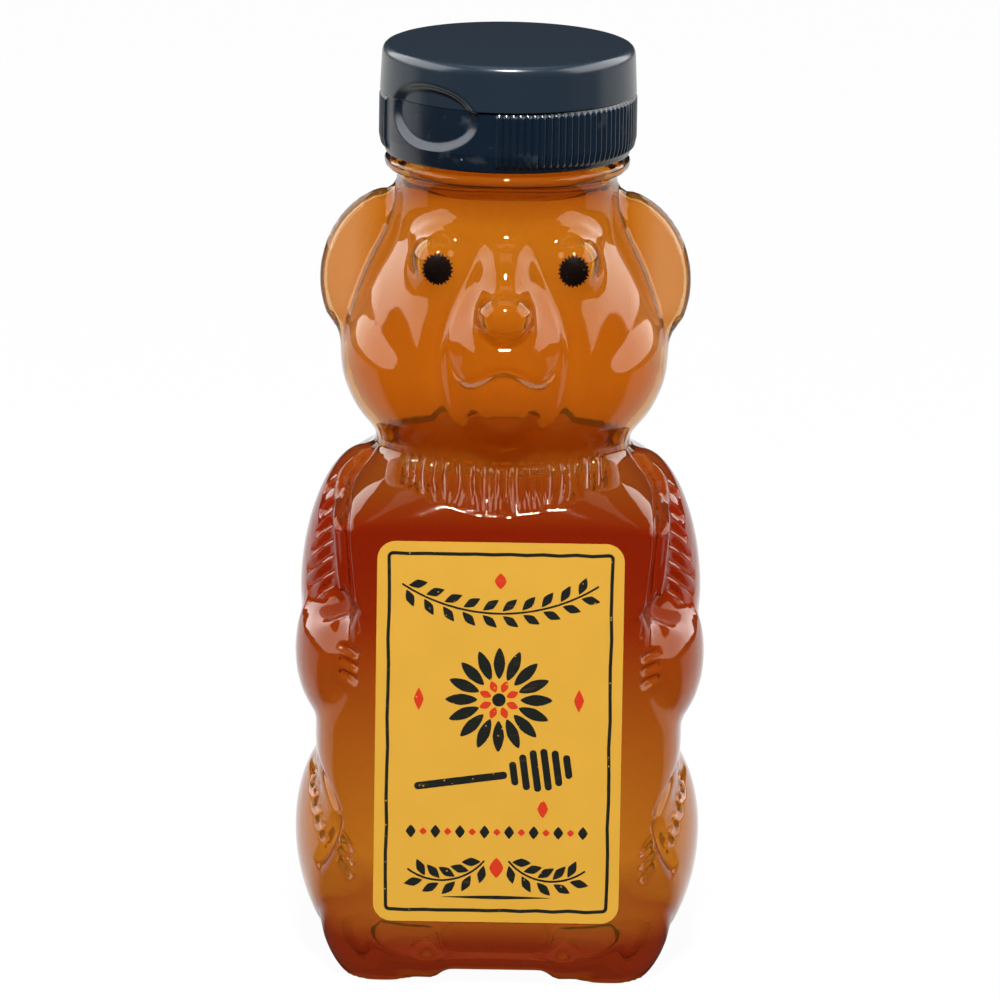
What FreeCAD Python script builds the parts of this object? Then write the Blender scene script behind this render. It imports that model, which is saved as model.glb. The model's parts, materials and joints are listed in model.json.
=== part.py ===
"""Bear-shaped squeeze bottle of honey with a screw-on flip-top cap.

Millimetres, +Z up. The origin is on the neck's axis, on the plane that the bottle stands on.
The bear faces -Y. Each piece is written to parts/NODE.step.
"""

import FreeCAD, Part

import math
import os

from FreeCAD import Matrix, Placement, Rotation, Vector

# Bottle wall and honey
WALL = 0.8
HONEY_GAP = 0.15
HONEY_LEVEL = 84.6

# Torso: a rounded box with flat panels in front and behind
PANEL_DEPTH = 53.4
PANEL_CORNER = 7.0
PANEL_TOP = 77.0
WAIST_WIDTH = 59.6
WAIST_HEIGHT = 38.0
UNDERARM_WIDTH = 51.6
UNDERARM_HEIGHT = 50.0
UNDERARM_CORNER = 3.5
CHEST_WIDTH = 48.8
CHEST_CORNER = 3.0
HIP_WIDTH = 57.0
HEEL_HEIGHT = 9.5
BASE_WIDTH = 46.0
BASE_DEPTH = 37.0
BASE_CORNER = 12.0
HEEL_STEPS = 4
PUSH_UP_RADIUS = 14.0
PUSH_UP_SLOPE = 3.0
PUSH_UP_DEPTH = 2.0
SHOULDER_RISE = 5.5
SHOULDER_WIDTH = 45.6
SHOULDER_DEPTH = 49.0
SHOULDER_CORNER = 14.0
BODY_HEIGHT = 86.5
BEAR_NECK_RADIUS = 20.2
BEAR_NECK_FLAT = 1.0

# Upper arms, forearms, paws, legs and feet: ellipsoids given by centre, half sizes and lean
ARM_CENTRE = Vector(24.3, -1.5, 66.0)
ARM_HALF = Vector(8.3, 15.5, 19.5)
ARM_LEAN = -6.4
FOREARM_CENTRE = Vector(25.9, -8.5, 53.0)
FOREARM_HALF = Vector(7.6, 15.5, 12.5)
PAW_CENTRE = Vector(22.8, -20.2, 54.0)
PAW_HALF = Vector(5.4, 5.6, 6.6)
LEG_CENTRE = Vector(20.9, -1.8, 18.9)
LEG_HALF = Vector(12.2, 24.6, 19.8)
LEG_LEAN = 7.7
FOOT_CENTRE = Vector(18.5, -14.0, 11.5)
FOOT_HALF = Vector(10.5, 12.6, 14.5)

# Head, measured up from the bear's neck
HEAD_HEIGHT = 41.8
HEAD_ROOT = 3.0
JAW_RISE, JAW_WIDTH, JAW_DEPTH = 5.5, 48.4, 45.0
CHEEK_RISE, CHEEK_WIDTH, CHEEK_DEPTH = 13.5, 53.8, 48.6
TEMPLE_RISE, TEMPLE_WIDTH, TEMPLE_DEPTH = 21.0, 50.6, 47.2
BROW_RISE, BROW_WIDTH, BROW_DEPTH = 28.5, 45.2, 43.6
CROWN_RISE, CROWN_WIDTH, CROWN_DEPTH = 36.0, 38.4, 38.2
EAR_CENTRE = Vector(16.5, 1.0, 26.5)
EAR_HALF = Vector(13.8, 4.4, 15.5)
MUZZLE_CENTRE = Vector(0.0, -18.5, 17.3)
MUZZLE_HALF = Vector(10.4, 11.0, 12.6)
BRIDGE_CENTRE = Vector(0.0, -15.5, 27.5)
BRIDGE_HALF = Vector(6.2, 10.3, 10.0)
NOSE_CENTRE = Vector(0.0, -26.4, 26.0)
NOSE_HALF = Vector(4.8, 4.4, 3.9)
EYE_CENTRE = Vector(11.0, -16.2, 32.9)
EYE_RADIUS = 4.2
PUPIL_RADIUS = 2.5
PUPIL_THICKNESS = 0.1
PRINT_GAP = 0.02

# Neck finish for a 38 mm single-turn screw cap
NECK_RADIUS = 17.9
NECK_COLUMN = 3.6
BEAD_RADIUS = 19.9
BEAD_HEIGHT = 2.0
BEAD_CHAMFER = 0.6
FINISH_HEIGHT = 10.1
FINISH_RADIUS = 17.5
BORE_RADIUS = 15.8
THREAD_PITCH = 4.233
THREAD_DEPTH = 1.1
THREAD_ROOT_WIDTH = 2.2
THREAD_CREST_WIDTH = 1.0
THREAD_BITE = 0.3
THREAD_TURNS = 1.25
CAP_THREAD_TURNS = 1.0
THREAD_START = 2.6

# Label
LABEL_WIDTH = 40.0
LABEL_HEIGHT = 63.6
LABEL_BOTTOM = 11.6
LABEL_CORNER = 3.0
LABEL_THICKNESS = 0.12

# Screw cap: base, seal and flip lid
CAP_RADIUS = 20.5
CAP_GAP = 0.6
CAP_RIM_RADIUS = 19.9
CAP_RIM_HEIGHT = 2.9
THREAD_CLEARANCE = 0.25
SEAM_HEIGHT = 10.0
SEAM_GAP = 0.1
SHOULDER_THICKNESS = 1.5
SEAL_RADIUS = 17.3
SEAL_THICKNESS = 0.9
SEAL_GAP = 0.1
DECK_THICKNESS = 1.2
DECK_WALL = 1.0
RIB_COUNT = 108
RIB_HEIGHT = 0.5
THUMB_ANGLE = -39.0
THUMB_HALF_SPAN = 33.0
THUMB_POCKET_HALF = Vector(9.6, 0.0, 5.6)
THUMB_POCKET_DEPTH = 0.8
THUMB_POCKET_DROP = 1.6
SPOUT_ROOT_RADIUS = 7.4
SPOUT_TIP_RADIUS = 4.8
SPOUT_HEIGHT = 3.0
ORIFICE_RADIUS = 3.2
PLUG_CLEARANCE = 0.5
PLUG_REACH = 2.0
PLUG_WALL = 1.0
LID_HEIGHT = 7.7
LID_TOP_THICKNESS = 1.5
LID_DRAFT = 0.35
LID_EDGE_FILLET = 1.6
DECK_CLEARANCE = 0.35
HINGE_FLAT = 19.9
HINGE_WIDTH = 11.0
HINGE_THICKNESS = 0.4
HINGE_REACH = 2.8
HINGE_GROOVE = 0.2

# Heights that follow from the sizes above
NECK_BASE = BODY_HEIGHT + HEAD_HEIGHT
BEAD_BASE = NECK_BASE + NECK_COLUMN
BEAD_TOP = BEAD_BASE + BEAD_HEIGHT
RIM = BEAD_TOP + FINISH_HEIGHT
CAP_BOTTOM = BEAD_TOP + CAP_GAP
SEAM = CAP_BOTTOM + SEAM_HEIGHT
DECK_UNDERSIDE = RIM + SEAL_THICKNESS + SEAL_GAP
DECK_TOP = DECK_UNDERSIDE + DECK_THICKNESS
LID_TOP = SEAM + LID_HEIGHT
LID_CEILING = LID_TOP - LID_TOP_THICKNESS
SKIRT_BORE = FINISH_RADIUS + THREAD_DEPTH + THREAD_CLEARANCE
SEAT_BORE = FINISH_RADIUS + THREAD_CLEARANCE
DECK_RADIUS = SEAT_BORE + DECK_WALL
LID_SEAM_RADIUS = CAP_RADIUS + RIB_HEIGHT - SEAM_GAP
LID_BORE = DECK_RADIUS + DECK_CLEARANCE

# Directions round the cap
THUMB_DIRECTION = Vector(math.sin(math.radians(THUMB_ANGLE)), -math.cos(math.radians(THUMB_ANGLE)), 0)
HINGE_DIRECTION = -THUMB_DIRECTION
UP = Vector(0, 0, 1)


def cylinder(radius, bottom, top):
    """A solid cylinder on the neck's axis, between two heights."""
    return Part.makeCylinder(radius, top - bottom, Vector(0, 0, bottom))


def cone(bottom_radius, top_radius, bottom, top):
    """A solid frustum on the neck's axis, between two heights."""
    return Part.makeCone(bottom_radius, top_radius, top - bottom, Vector(0, 0, bottom))


def ellipsoid(centre, half, inset=0.0, lean=0.0):
    """An ellipsoid with its skin moved in by inset, leaning about Y by an angle in degrees."""
    scale = Matrix()
    scale.scale(half.x - inset, half.y - inset, half.z - inset)
    solid = Part.makeSphere(1.0).transformGeometry(scale)
    solid.Placement = Placement(centre, Rotation(Vector(0, 1, 0), lean))
    return solid


def mirrored(shape):
    """The same shape on the bear's other side."""
    return shape.mirror(Vector(0, 0, 0), Vector(1, 0, 0))


def both_sides(shape):
    """A shape and its mirror image."""
    return [shape, mirrored(shape)]


def fused(shapes):
    """One solid from shapes that overlap, joined one after another."""
    solid = shapes[0]
    for shape in shapes[1:]:
        solid = solid.fuse(shape)
    return solid.removeSplitter()


def rounded_rectangle(half_width, half_depth, corner, height):
    """A closed wire of four lines and four arcs, level, at a height."""
    straight_x = half_width - corner
    straight_y = half_depth - corner
    arcs = []
    for start, sign_x, sign_y in ((0, 1, 1), (90, -1, 1), (180, -1, -1), (270, 1, -1)):
        centre = Vector(sign_x * straight_x, sign_y * straight_y, height)
        circle = Part.Circle(centre, UP, corner)
        arcs.append(Part.Arc(circle, math.radians(start), math.radians(start + 90)).toShape())
    edges = []
    for arc, following in zip(arcs, arcs[1:] + arcs[:1]):
        side = Part.LineSegment(arc.lastVertex().Point, following.firstVertex().Point)
        edges += [arc, side.toShape()]
    return Part.Wire(edges)


def torso_sections(inset):
    """Level outlines of the torso from its base to the bear's neck, with the skin moved in by inset."""
    half_panel = PANEL_DEPTH / 2
    outlines = []
    for step in range(HEEL_STEPS):
        turn = math.pi / 2 * step / HEEL_STEPS
        share = math.sin(turn)
        half_width = BASE_WIDTH / 2 + (HIP_WIDTH - BASE_WIDTH) / 2 * share
        half_depth = BASE_DEPTH / 2 + (PANEL_DEPTH - BASE_DEPTH) / 2 * share
        corner = BASE_CORNER + (PANEL_CORNER - BASE_CORNER) * share
        rise = inset + (HEEL_HEIGHT - inset) * (1 - math.cos(turn))
        outlines.append((half_width, half_depth, corner, rise))
    outlines.append((HIP_WIDTH / 2, half_panel, PANEL_CORNER, HEEL_HEIGHT))
    outlines.append((WAIST_WIDTH / 2, half_panel, PANEL_CORNER, WAIST_HEIGHT))
    outlines.append((UNDERARM_WIDTH / 2, half_panel, UNDERARM_CORNER, UNDERARM_HEIGHT))
    outlines.append((CHEST_WIDTH / 2, half_panel, CHEST_CORNER, PANEL_TOP))
    outlines.append((SHOULDER_WIDTH / 2, SHOULDER_DEPTH / 2, SHOULDER_CORNER, PANEL_TOP + SHOULDER_RISE))
    neck_corner = BEAR_NECK_RADIUS - BEAR_NECK_FLAT
    outlines.append((BEAR_NECK_RADIUS, BEAR_NECK_RADIUS, neck_corner, BODY_HEIGHT))
    return [rounded_rectangle(w - inset, d - inset, c - inset, z) for w, d, c, z in outlines]


def torso(inset):
    """The bear's trunk, with the push-up in its base."""
    trunk = Part.makeLoft(torso_sections(inset), True, True)
    push_up = cone(
        PUSH_UP_RADIUS + inset,
        PUSH_UP_RADIUS - PUSH_UP_SLOPE + inset,
        0,
        PUSH_UP_DEPTH + inset,
    )
    return trunk.cut(push_up)


def limbs(inset):
    """Arms, forearms, paws, legs and feet on both sides. Legs and feet end on the base plane."""
    floor_cut = Part.makeBox(4 * WAIST_WIDTH, 4 * WAIST_WIDTH, WAIST_WIDTH)
    floor_cut.translate(Vector(-2 * WAIST_WIDTH, -2 * WAIST_WIDTH, inset - WAIST_WIDTH))
    leg = ellipsoid(LEG_CENTRE, LEG_HALF, inset, LEG_LEAN).cut(floor_cut)
    foot = ellipsoid(FOOT_CENTRE, FOOT_HALF, inset).cut(floor_cut)
    arm = ellipsoid(ARM_CENTRE, ARM_HALF, inset, ARM_LEAN)
    forearm = ellipsoid(FOREARM_CENTRE, FOREARM_HALF, inset)
    paw = ellipsoid(PAW_CENTRE, PAW_HALF, inset)
    return [side for limb in (leg, foot, arm, forearm, paw) for side in both_sides(limb)]


def above_neck(place):
    """A place on the head, from its height above the bear's neck to a height above the base."""
    return place + Vector(0, 0, BODY_HEIGHT)


def skull(inset):
    """The head without its features: a smooth skin through level ellipses, up to the bottle neck."""
    outlines = [
        (-HEAD_ROOT, BEAR_NECK_RADIUS, BEAR_NECK_RADIUS),
        (0, BEAR_NECK_RADIUS, BEAR_NECK_RADIUS),
        (JAW_RISE, JAW_WIDTH / 2, JAW_DEPTH / 2),
        (CHEEK_RISE, CHEEK_WIDTH / 2, CHEEK_DEPTH / 2),
        (TEMPLE_RISE, TEMPLE_WIDTH / 2, TEMPLE_DEPTH / 2),
        (BROW_RISE, BROW_WIDTH / 2, BROW_DEPTH / 2),
        (CROWN_RISE, CROWN_WIDTH / 2, CROWN_DEPTH / 2),
        (HEAD_HEIGHT, NECK_RADIUS, NECK_RADIUS),
    ]
    wires = []
    for rise, half_width, half_depth in outlines:
        centre = Vector(0, 0, BODY_HEIGHT + rise)
        if half_width > half_depth:
            side = centre + Vector(half_width - inset, 0, 0)
            front = centre + Vector(0, half_depth - inset, 0)
            curve = Part.Ellipse(side, front, centre)
        else:
            curve = Part.Circle(centre, UP, half_width - inset)
        wires.append(Part.Wire(curve.toShape()))
    return Part.makeLoft(wires, True, False)


def face(inset):
    """Ears, eyes, muzzle, the bridge above the nose, and the nose."""
    ear = ellipsoid(above_neck(EAR_CENTRE), EAR_HALF, inset)
    eye = Part.makeSphere(EYE_RADIUS - inset, above_neck(EYE_CENTRE))
    muzzle = ellipsoid(above_neck(MUZZLE_CENTRE), MUZZLE_HALF, inset)
    bridge = ellipsoid(above_neck(BRIDGE_CENTRE), BRIDGE_HALF, inset)
    nose = ellipsoid(above_neck(NOSE_CENTRE), NOSE_HALF, inset)
    return both_sides(ear) + both_sides(eye) + [muzzle, bridge, nose]


def helical_ridge(root_radius, crest_radius, start, turns):
    """A thread ridge that climbs from a height by a number of turns, sunk into its root by the bite."""
    outward = 1 if crest_radius > root_radius else -1
    root = root_radius - outward * THREAD_BITE
    helix = Part.makeHelix(THREAD_PITCH, THREAD_PITCH * turns, root)
    corners = [
        Vector(root, 0, -THREAD_ROOT_WIDTH / 2),
        Vector(crest_radius, 0, -THREAD_CREST_WIDTH / 2),
        Vector(crest_radius, 0, THREAD_CREST_WIDTH / 2),
        Vector(root, 0, THREAD_ROOT_WIDTH / 2),
    ]
    section = Part.makePolygon(corners + corners[:1])
    ridge = Part.Wire(helix).makePipeShell([section], True, True)
    ridge.translate(Vector(0, 0, start))
    return ridge


def neck_finish():
    """Neck column, bead and threaded finish, solid, without the bore."""
    column = cylinder(NECK_RADIUS, NECK_BASE - HEAD_ROOT, BEAD_BASE)
    bead_middle = cylinder(BEAD_RADIUS, BEAD_BASE + BEAD_CHAMFER, BEAD_TOP - BEAD_CHAMFER)
    bead_low = cone(BEAD_RADIUS - BEAD_CHAMFER, BEAD_RADIUS, BEAD_BASE, BEAD_BASE + BEAD_CHAMFER)
    bead_high = cone(BEAD_RADIUS, BEAD_RADIUS - BEAD_CHAMFER, BEAD_TOP - BEAD_CHAMFER, BEAD_TOP)
    finish = cylinder(FINISH_RADIUS, BEAD_TOP, RIM)
    thread = helical_ridge(
        FINISH_RADIUS,
        FINISH_RADIUS + THREAD_DEPTH,
        BEAD_TOP + THREAD_START,
        THREAD_TURNS,
    )
    return [column, bead_low, bead_middle, bead_high, finish, thread]


def bear_bottle():
    """The blow-moulded bottle: the bear's skin, hollow up through its neck."""
    outside = fused([torso(0.0), skull(0.0)] + limbs(0.0) + face(0.0) + neck_finish())
    bore = cylinder(BORE_RADIUS, NECK_BASE - HEAD_ROOT, RIM)
    inside = fused([torso(WALL), skull(WALL)] + limbs(WALL) + face(WALL) + [bore])
    return outside.cut(inside)


def honey():
    """The honey, filling the bear up to just under its neck."""
    inset = WALL + HONEY_GAP
    fill = fused([torso(inset), skull(inset)] + limbs(inset))
    box = Part.makeBox(2 * WAIST_WIDTH, 2 * WAIST_WIDTH, HONEY_LEVEL)
    box.translate(Vector(-WAIST_WIDTH, -WAIST_WIDTH, 0))
    return fill.common(box)


def front_label():
    """The paper sticker on the front panel."""
    middle = LABEL_BOTTOM + LABEL_HEIGHT / 2
    outline = rounded_rectangle(LABEL_WIDTH / 2, LABEL_HEIGHT / 2, LABEL_CORNER, 0)
    sheet = Part.Face(outline).extrude(Vector(0, 0, LABEL_THICKNESS))
    sheet.Placement = Placement(Vector(0, -PANEL_DEPTH / 2, middle), Rotation(Vector(1, 0, 0), 90))
    return sheet


def right_pupil():
    """The dark dot printed on the eye's dome."""
    centre = above_neck(EYE_CENTRE)
    inner = EYE_RADIUS + PRINT_GAP
    dot = Part.makeCylinder(PUPIL_RADIUS, 2 * EYE_RADIUS, centre, Vector(0, -1, 0))
    outer_ball = Part.makeSphere(inner + PUPIL_THICKNESS, centre)
    return dot.common(outer_ball).cut(Part.makeSphere(inner, centre))


def around_cap(direction, angle):
    """A direction turned about the neck's axis by an angle in degrees."""
    return Rotation(UP, angle).multVec(direction)


def thumb_pocket(floor_radius):
    """The oval that a thumb presses into: everything outside the floor radius within the oval."""
    centre = Vector(0, 0, SEAM - THUMB_POCKET_DROP)
    oval = Part.Ellipse(
        centre + Vector(THUMB_POCKET_HALF.x, 0, 0),
        centre + Vector(0, 0, THUMB_POCKET_HALF.z),
        centre,
    )
    plug = Part.Face(Part.Wire(oval.toShape())).extrude(Vector(0, -2 * CAP_RADIUS, 0))
    plug = plug.cut(cylinder(floor_radius, CAP_BOTTOM - CAP_RADIUS, LID_TOP + CAP_RADIUS))
    plug.rotate(Vector(0, 0, 0), UP, THUMB_ANGLE)
    return plug


def turned_to_hinge(shape):
    """A shape made toward +X, turned to the hinge's side of the cap."""
    shape.rotate(Vector(0, 0, 0), UP, math.degrees(math.atan2(HINGE_DIRECTION.y, HINGE_DIRECTION.x)))
    return shape


def behind_hinge_flat():
    """The space outside the flat that the hinge lies on, over the whole cap."""
    side = 4 * CAP_RADIUS
    return turned_to_hinge(Part.makeBox(side, side, side, Vector(HINGE_FLAT, -side / 2, SEAM - side / 2)))


def grip_ribs(bottom, top):
    """The ribbed grip round the cap, left out where the thumb goes."""
    rib_step = 360 / RIB_COUNT
    smooth = int(THUMB_HALF_SPAN / rib_step)
    inner = CAP_RADIUS - RIB_HEIGHT
    points = []
    for index in range(smooth, RIB_COUNT - smooth):
        for share, radius in ((0.0, CAP_RADIUS), (0.5, CAP_RADIUS + RIB_HEIGHT)):
            points.append(around_cap(THUMB_DIRECTION, (index + share) * rib_step) * radius)
    points.append(around_cap(THUMB_DIRECTION, (RIB_COUNT - smooth) * rib_step) * CAP_RADIUS)
    outline = Part.makePolygon(points + [Vector(0, 0, 0), points[0]])
    band = Part.Face(outline).extrude(Vector(0, 0, top - bottom))
    band.translate(Vector(0, 0, bottom))
    return band.cut(cylinder(inner, bottom, top))


def cap_base():
    """The threaded base: ribbed skirt, deck with its spout, and the screw thread inside."""
    rim_top = CAP_BOTTOM + CAP_RIM_HEIGHT
    shell = fused(
        [
            cone(CAP_RIM_RADIUS, CAP_RADIUS, CAP_BOTTOM, rim_top),
            cylinder(CAP_RADIUS, rim_top, SEAM),
            cylinder(DECK_RADIUS, SEAM, DECK_TOP),
            cone(SPOUT_ROOT_RADIUS, SPOUT_TIP_RADIUS, DECK_TOP, DECK_TOP + SPOUT_HEIGHT),
            grip_ribs(rim_top, SEAM),
        ]
    )
    skirt_space = cylinder(SKIRT_BORE, CAP_BOTTOM, SEAM - SHOULDER_THICKNESS)
    seat_space = cylinder(SEAT_BORE, CAP_BOTTOM, DECK_UNDERSIDE)
    orifice = cylinder(ORIFICE_RADIUS, CAP_BOTTOM, LID_TOP)
    pocket = thumb_pocket(CAP_RADIUS - THUMB_POCKET_DEPTH)
    shell = shell.cut(fused([skirt_space, seat_space, orifice])).cut(pocket).cut(behind_hinge_flat())
    thread = helical_ridge(
        SKIRT_BORE,
        SKIRT_BORE - THREAD_DEPTH,
        BEAD_TOP + THREAD_START,
        CAP_THREAD_TURNS,
    )
    thread.rotate(Vector(0, 0, 0), UP, 180)
    return shell.fuse(thread)


def seal_disc():
    """The foam seal that closes the bottle's mouth under the cap."""
    return cylinder(SEAL_RADIUS, RIM, RIM + SEAL_THICKNESS)


def flip_lid():
    """The lid: a shallow cup with a plug for the spout and a thumb notch in its edge."""
    bottom = SEAM + SEAM_GAP
    cup = cone(LID_SEAM_RADIUS, LID_SEAM_RADIUS - LID_DRAFT, bottom, LID_TOP)
    top_edge = [e for e in cup.Edges if e.Closed and e.CenterOfMass.z > LID_TOP - SEAM_GAP]
    cup = cup.makeFillet(LID_EDGE_FILLET, top_edge)
    cup = cup.cut(cylinder(LID_BORE, bottom, LID_CEILING))
    plug_radius = ORIFICE_RADIUS - PLUG_CLEARANCE
    plug_tip = DECK_TOP + SPOUT_HEIGHT - PLUG_REACH
    plug = cylinder(plug_radius, plug_tip, LID_CEILING)
    plug = plug.cut(cylinder(plug_radius - PLUG_WALL, plug_tip, LID_CEILING))
    pocket = thumb_pocket(CAP_RADIUS - THUMB_POCKET_DEPTH)
    return cup.cut(pocket).cut(behind_hinge_flat()).fuse(plug)


def living_hinge():
    """The strap that joins lid and base behind, lying on their flats, with a groove where it bends."""
    bottom = SEAM - HINGE_REACH
    height = 2 * HINGE_REACH + SEAM_GAP
    edge = -HINGE_WIDTH / 2
    strap = Part.makeBox(HINGE_THICKNESS, HINGE_WIDTH, height, Vector(HINGE_FLAT, edge, bottom))
    bend = Vector(HINGE_FLAT + HINGE_THICKNESS, edge, SEAM + SEAM_GAP / 2)
    groove = Part.makeCylinder(HINGE_GROOVE, HINGE_WIDTH, bend, Vector(0, 1, 0))
    return turned_to_hinge(strap.cut(groove))


def main():
    """Builds every piece and writes it to its own file."""
    pieces = {
        "bear_bottle": bear_bottle(),
        "honey": honey(),
        "front_label": front_label(),
        "right_pupil": right_pupil(),
        "left_pupil": mirrored(right_pupil()),
        "cap_base": cap_base(),
        "seal_disc": seal_disc(),
        "flip_lid": flip_lid(),
        "living_hinge": living_hinge(),
    }
    os.makedirs("parts", exist_ok=True)
    for name, shape in pieces.items():
        valid = shape.isValid()
        print(f"{name}: {len(shape.Solids)} solid, {shape.Volume:.1f} mm3, valid {valid}")
        shape.exportStep(f"parts/{name}.step")


main()
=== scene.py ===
"""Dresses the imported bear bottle: skin, honey, label, pupils, flip-top cap and a white stage.

The bear is blocked out from masses close to those of the solids, merged into one skin, and then carved.
Metres in the scene. Places on the bear are written in millimetres and turned to metres on use.
"""

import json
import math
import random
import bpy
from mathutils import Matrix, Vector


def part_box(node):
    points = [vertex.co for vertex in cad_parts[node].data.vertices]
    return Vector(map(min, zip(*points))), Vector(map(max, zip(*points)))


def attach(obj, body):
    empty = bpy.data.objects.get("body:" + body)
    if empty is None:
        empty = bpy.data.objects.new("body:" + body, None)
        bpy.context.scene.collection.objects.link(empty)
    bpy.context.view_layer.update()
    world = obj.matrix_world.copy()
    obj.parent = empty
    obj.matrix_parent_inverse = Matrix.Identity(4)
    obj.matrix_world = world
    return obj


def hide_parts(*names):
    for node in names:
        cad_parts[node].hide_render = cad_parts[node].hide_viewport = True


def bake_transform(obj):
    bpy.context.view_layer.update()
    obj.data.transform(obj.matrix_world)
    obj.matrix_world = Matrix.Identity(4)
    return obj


bl_info = {
    "name": "Honey Bear Bottle",
    "version": (1, 0, 0),
    "blender": (4, 5, 0),
    "location": "View3D > Sidebar > Honey Bear",
    "description": "Builds a bear-shaped honey bottle with a label, a flip-top cap and a white stage",
    "category": "Add Mesh",
}

from typing import NamedTuple

import bpy
import numpy as np
from bpy.props import FloatProperty, FloatVectorProperty, IntProperty, PointerProperty
from mathutils import Euler, Vector
from mathutils.bvhtree import BVHTree

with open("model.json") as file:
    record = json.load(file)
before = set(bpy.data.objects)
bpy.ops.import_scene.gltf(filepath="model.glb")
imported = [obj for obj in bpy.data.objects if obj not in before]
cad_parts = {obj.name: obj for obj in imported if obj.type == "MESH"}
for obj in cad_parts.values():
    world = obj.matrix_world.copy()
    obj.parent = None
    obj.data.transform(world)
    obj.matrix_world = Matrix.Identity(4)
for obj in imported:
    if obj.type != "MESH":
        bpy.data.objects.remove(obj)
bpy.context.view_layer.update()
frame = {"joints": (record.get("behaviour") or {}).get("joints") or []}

MM = 0.001

HINGE = next(joint for joint in frame["joints"] if joint["name"] == "lid_flip")
HINGE_POINT = Vector(HINGE["pos_m"])
HINGE_AXIS = Vector(HINGE["axis"]).normalized()
HINGE_OUT = Vector((HINGE_POINT.x, HINGE_POINT.y, 0.0)).normalized()
THUMB_ANGLE = math.atan2(-HINGE_OUT.y, -HINGE_OUT.x)


class Mass(NamedTuple):
    """An ellipsoid of the bear: centre and half sizes in millimetres, and its lean about Y in degrees."""

    centre: tuple
    half: tuple
    lean: float = 0.0


class Ring(NamedTuple):
    """A level outline of the bear, in millimetres. Squareness 2 is an ellipse and 7 a rounded box."""

    height: float
    half_width: float
    half_depth: float
    squareness: float


class Stroke(NamedTuple):
    """A line carved in the skin: points (x, z) in front view, width and depth in millimetres."""

    points: list
    width: float
    depth: float


# The ear is also shaped by itself after the merging
EAR = Mass((16.5, 1.0, 113.0), (13.8, 4.4, 15.5))
# Upper arm, forearm, paw, leg, foot, ear and eye
PAIRED_MASSES = (
    Mass((24.3, -1.5, 66.0), (8.3, 15.5, 19.5), -6.4),
    Mass((25.9, -8.5, 53.0), (7.6, 15.5, 12.5)),
    Mass((22.8, -20.2, 54.0), (5.4, 5.6, 6.6)),
    Mass((20.9, -1.8, 18.9), (12.2, 24.6, 19.8), 7.7),
    Mass((18.5, -14.0, 11.5), (10.5, 12.6, 14.5)),
    EAR,
    Mass((11.0, -16.2, 119.4), (4.6, 4.6, 4.6)),
)
# Muzzle, bridge of the nose and nose
MIDDLE_MASSES = (
    Mass((0.0, -17.0, 102.8), (10.2, 11.6, 15.0)),
    Mass((0.0, -15.5, 114.0), (6.2, 10.3, 10.0)),
    Mass((0.0, -26.4, 112.5), (4.6, 3.9, 3.9)),
)
# Eyes and nose as they are brought out after the merging, and how softly they meet the skin
EYE = Mass((11.0, -16.2, 119.4), (4.2, 4.2, 4.2))
NOSE = Mass((0.0, -26.4, 112.5), (4.5, 3.7, 3.7))
EYE_BLEND = 0.2
NOSE_BLEND = 1.6
# A dome stops this near to its own rim, and lifts no skin further than this behind its middle
DOME_RIM = 0.02
DOME_BEHIND = 2.0

TORSO_RINGS = (
    Ring(9.5, 26.5, 28.0, 5.0),
    Ring(38.0, 30.0, 28.0, 5.0),
    Ring(44.0, 30.0, 28.0, 5.0),
    Ring(50.0, 25.2, 27.4, 12.0),
    Ring(58.0, 24.6, 27.4, 12.0),
    Ring(67.5, 26.4, 27.4, 12.0),
    Ring(77.0, 27.2, 27.4, 12.0),
    Ring(80.5, 25.6, 25.6, 5.0),
    Ring(82.5, 24.0, 24.4, 3.6),
    Ring(84.6, 21.8, 22.3, 2.6),
    Ring(86.5, 20.2, 20.2, 2.0),
)
# Outline on the ground, and the steps in which the heel rounds up to the first ring
HEEL = Ring(0.0, 23.0, 18.5, 3.8)
HEEL_STEPS = 6
HEAD_RINGS = (
    Ring(83.5, 20.2, 20.2, 2.0),
    Ring(86.5, 20.2, 20.2, 2.0),
    Ring(92.0, 24.2, 22.5, 2.0),
    Ring(100.0, 26.9, 24.3, 2.0),
    Ring(107.5, 25.3, 23.6, 2.0),
    Ring(115.0, 22.6, 21.8, 2.0),
    Ring(122.5, 19.2, 19.1, 2.0),
    Ring(128.3, 17.9, 17.9, 2.0),
    Ring(133.0, 17.9, 17.9, 2.0),
)
# Rings drawn through those of the head, and mesh steps round a column and a ball
HEAD_STEPS = 44
COLUMN_STEPS = 128
BALL_STEPS = 64
# Where the ears' paler colour, partly a painted highlight, fades in, across and up, in metres, and where the
# wall counts as seen on edge and is darkened as painted shade
EAR_SIDE = (0.020, 0.025)
EAR_FOOT = (0.100, 0.108)
EDGE_SHADE_FACING = (0.6, 1.0)
# Heights between which each tint of the bottle holds: the sole and chest tints are painted shade, the foot
# tint painted light
SOLE_SHADE_SPAN = (3.0, 7.5)
FOOT_LIGHT_SPAN = (12.0, 23.0)
CHEST_SHADE_SPAN = (61.0, 77.0)
JAW_SPAN = (92.0, 108.0)
BROW_SPAN = (116.0, 125.0)
# The flat panel in front, which is mirrored behind, and the height at which the neck begins
PANEL_FRONT = -26.7
NECK_CUT = 129.6
# The inner side of the skin lies this many walls inside the outer one
INNER_SIDE = 1.5
# Push-up under the base: its slope across, its rise, and the height below which the skin is lifted
PUSH_UP_SLOPE = (14.0, 11.0)
PUSH_UP_RISE = 2.0
PUSH_UP_REACH = 1.2
# The heel is fuller behind by this share, and fullest up to this height
BACK_HEEL = 0.3
BACK_HEEL_LOW = 1.0
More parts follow.
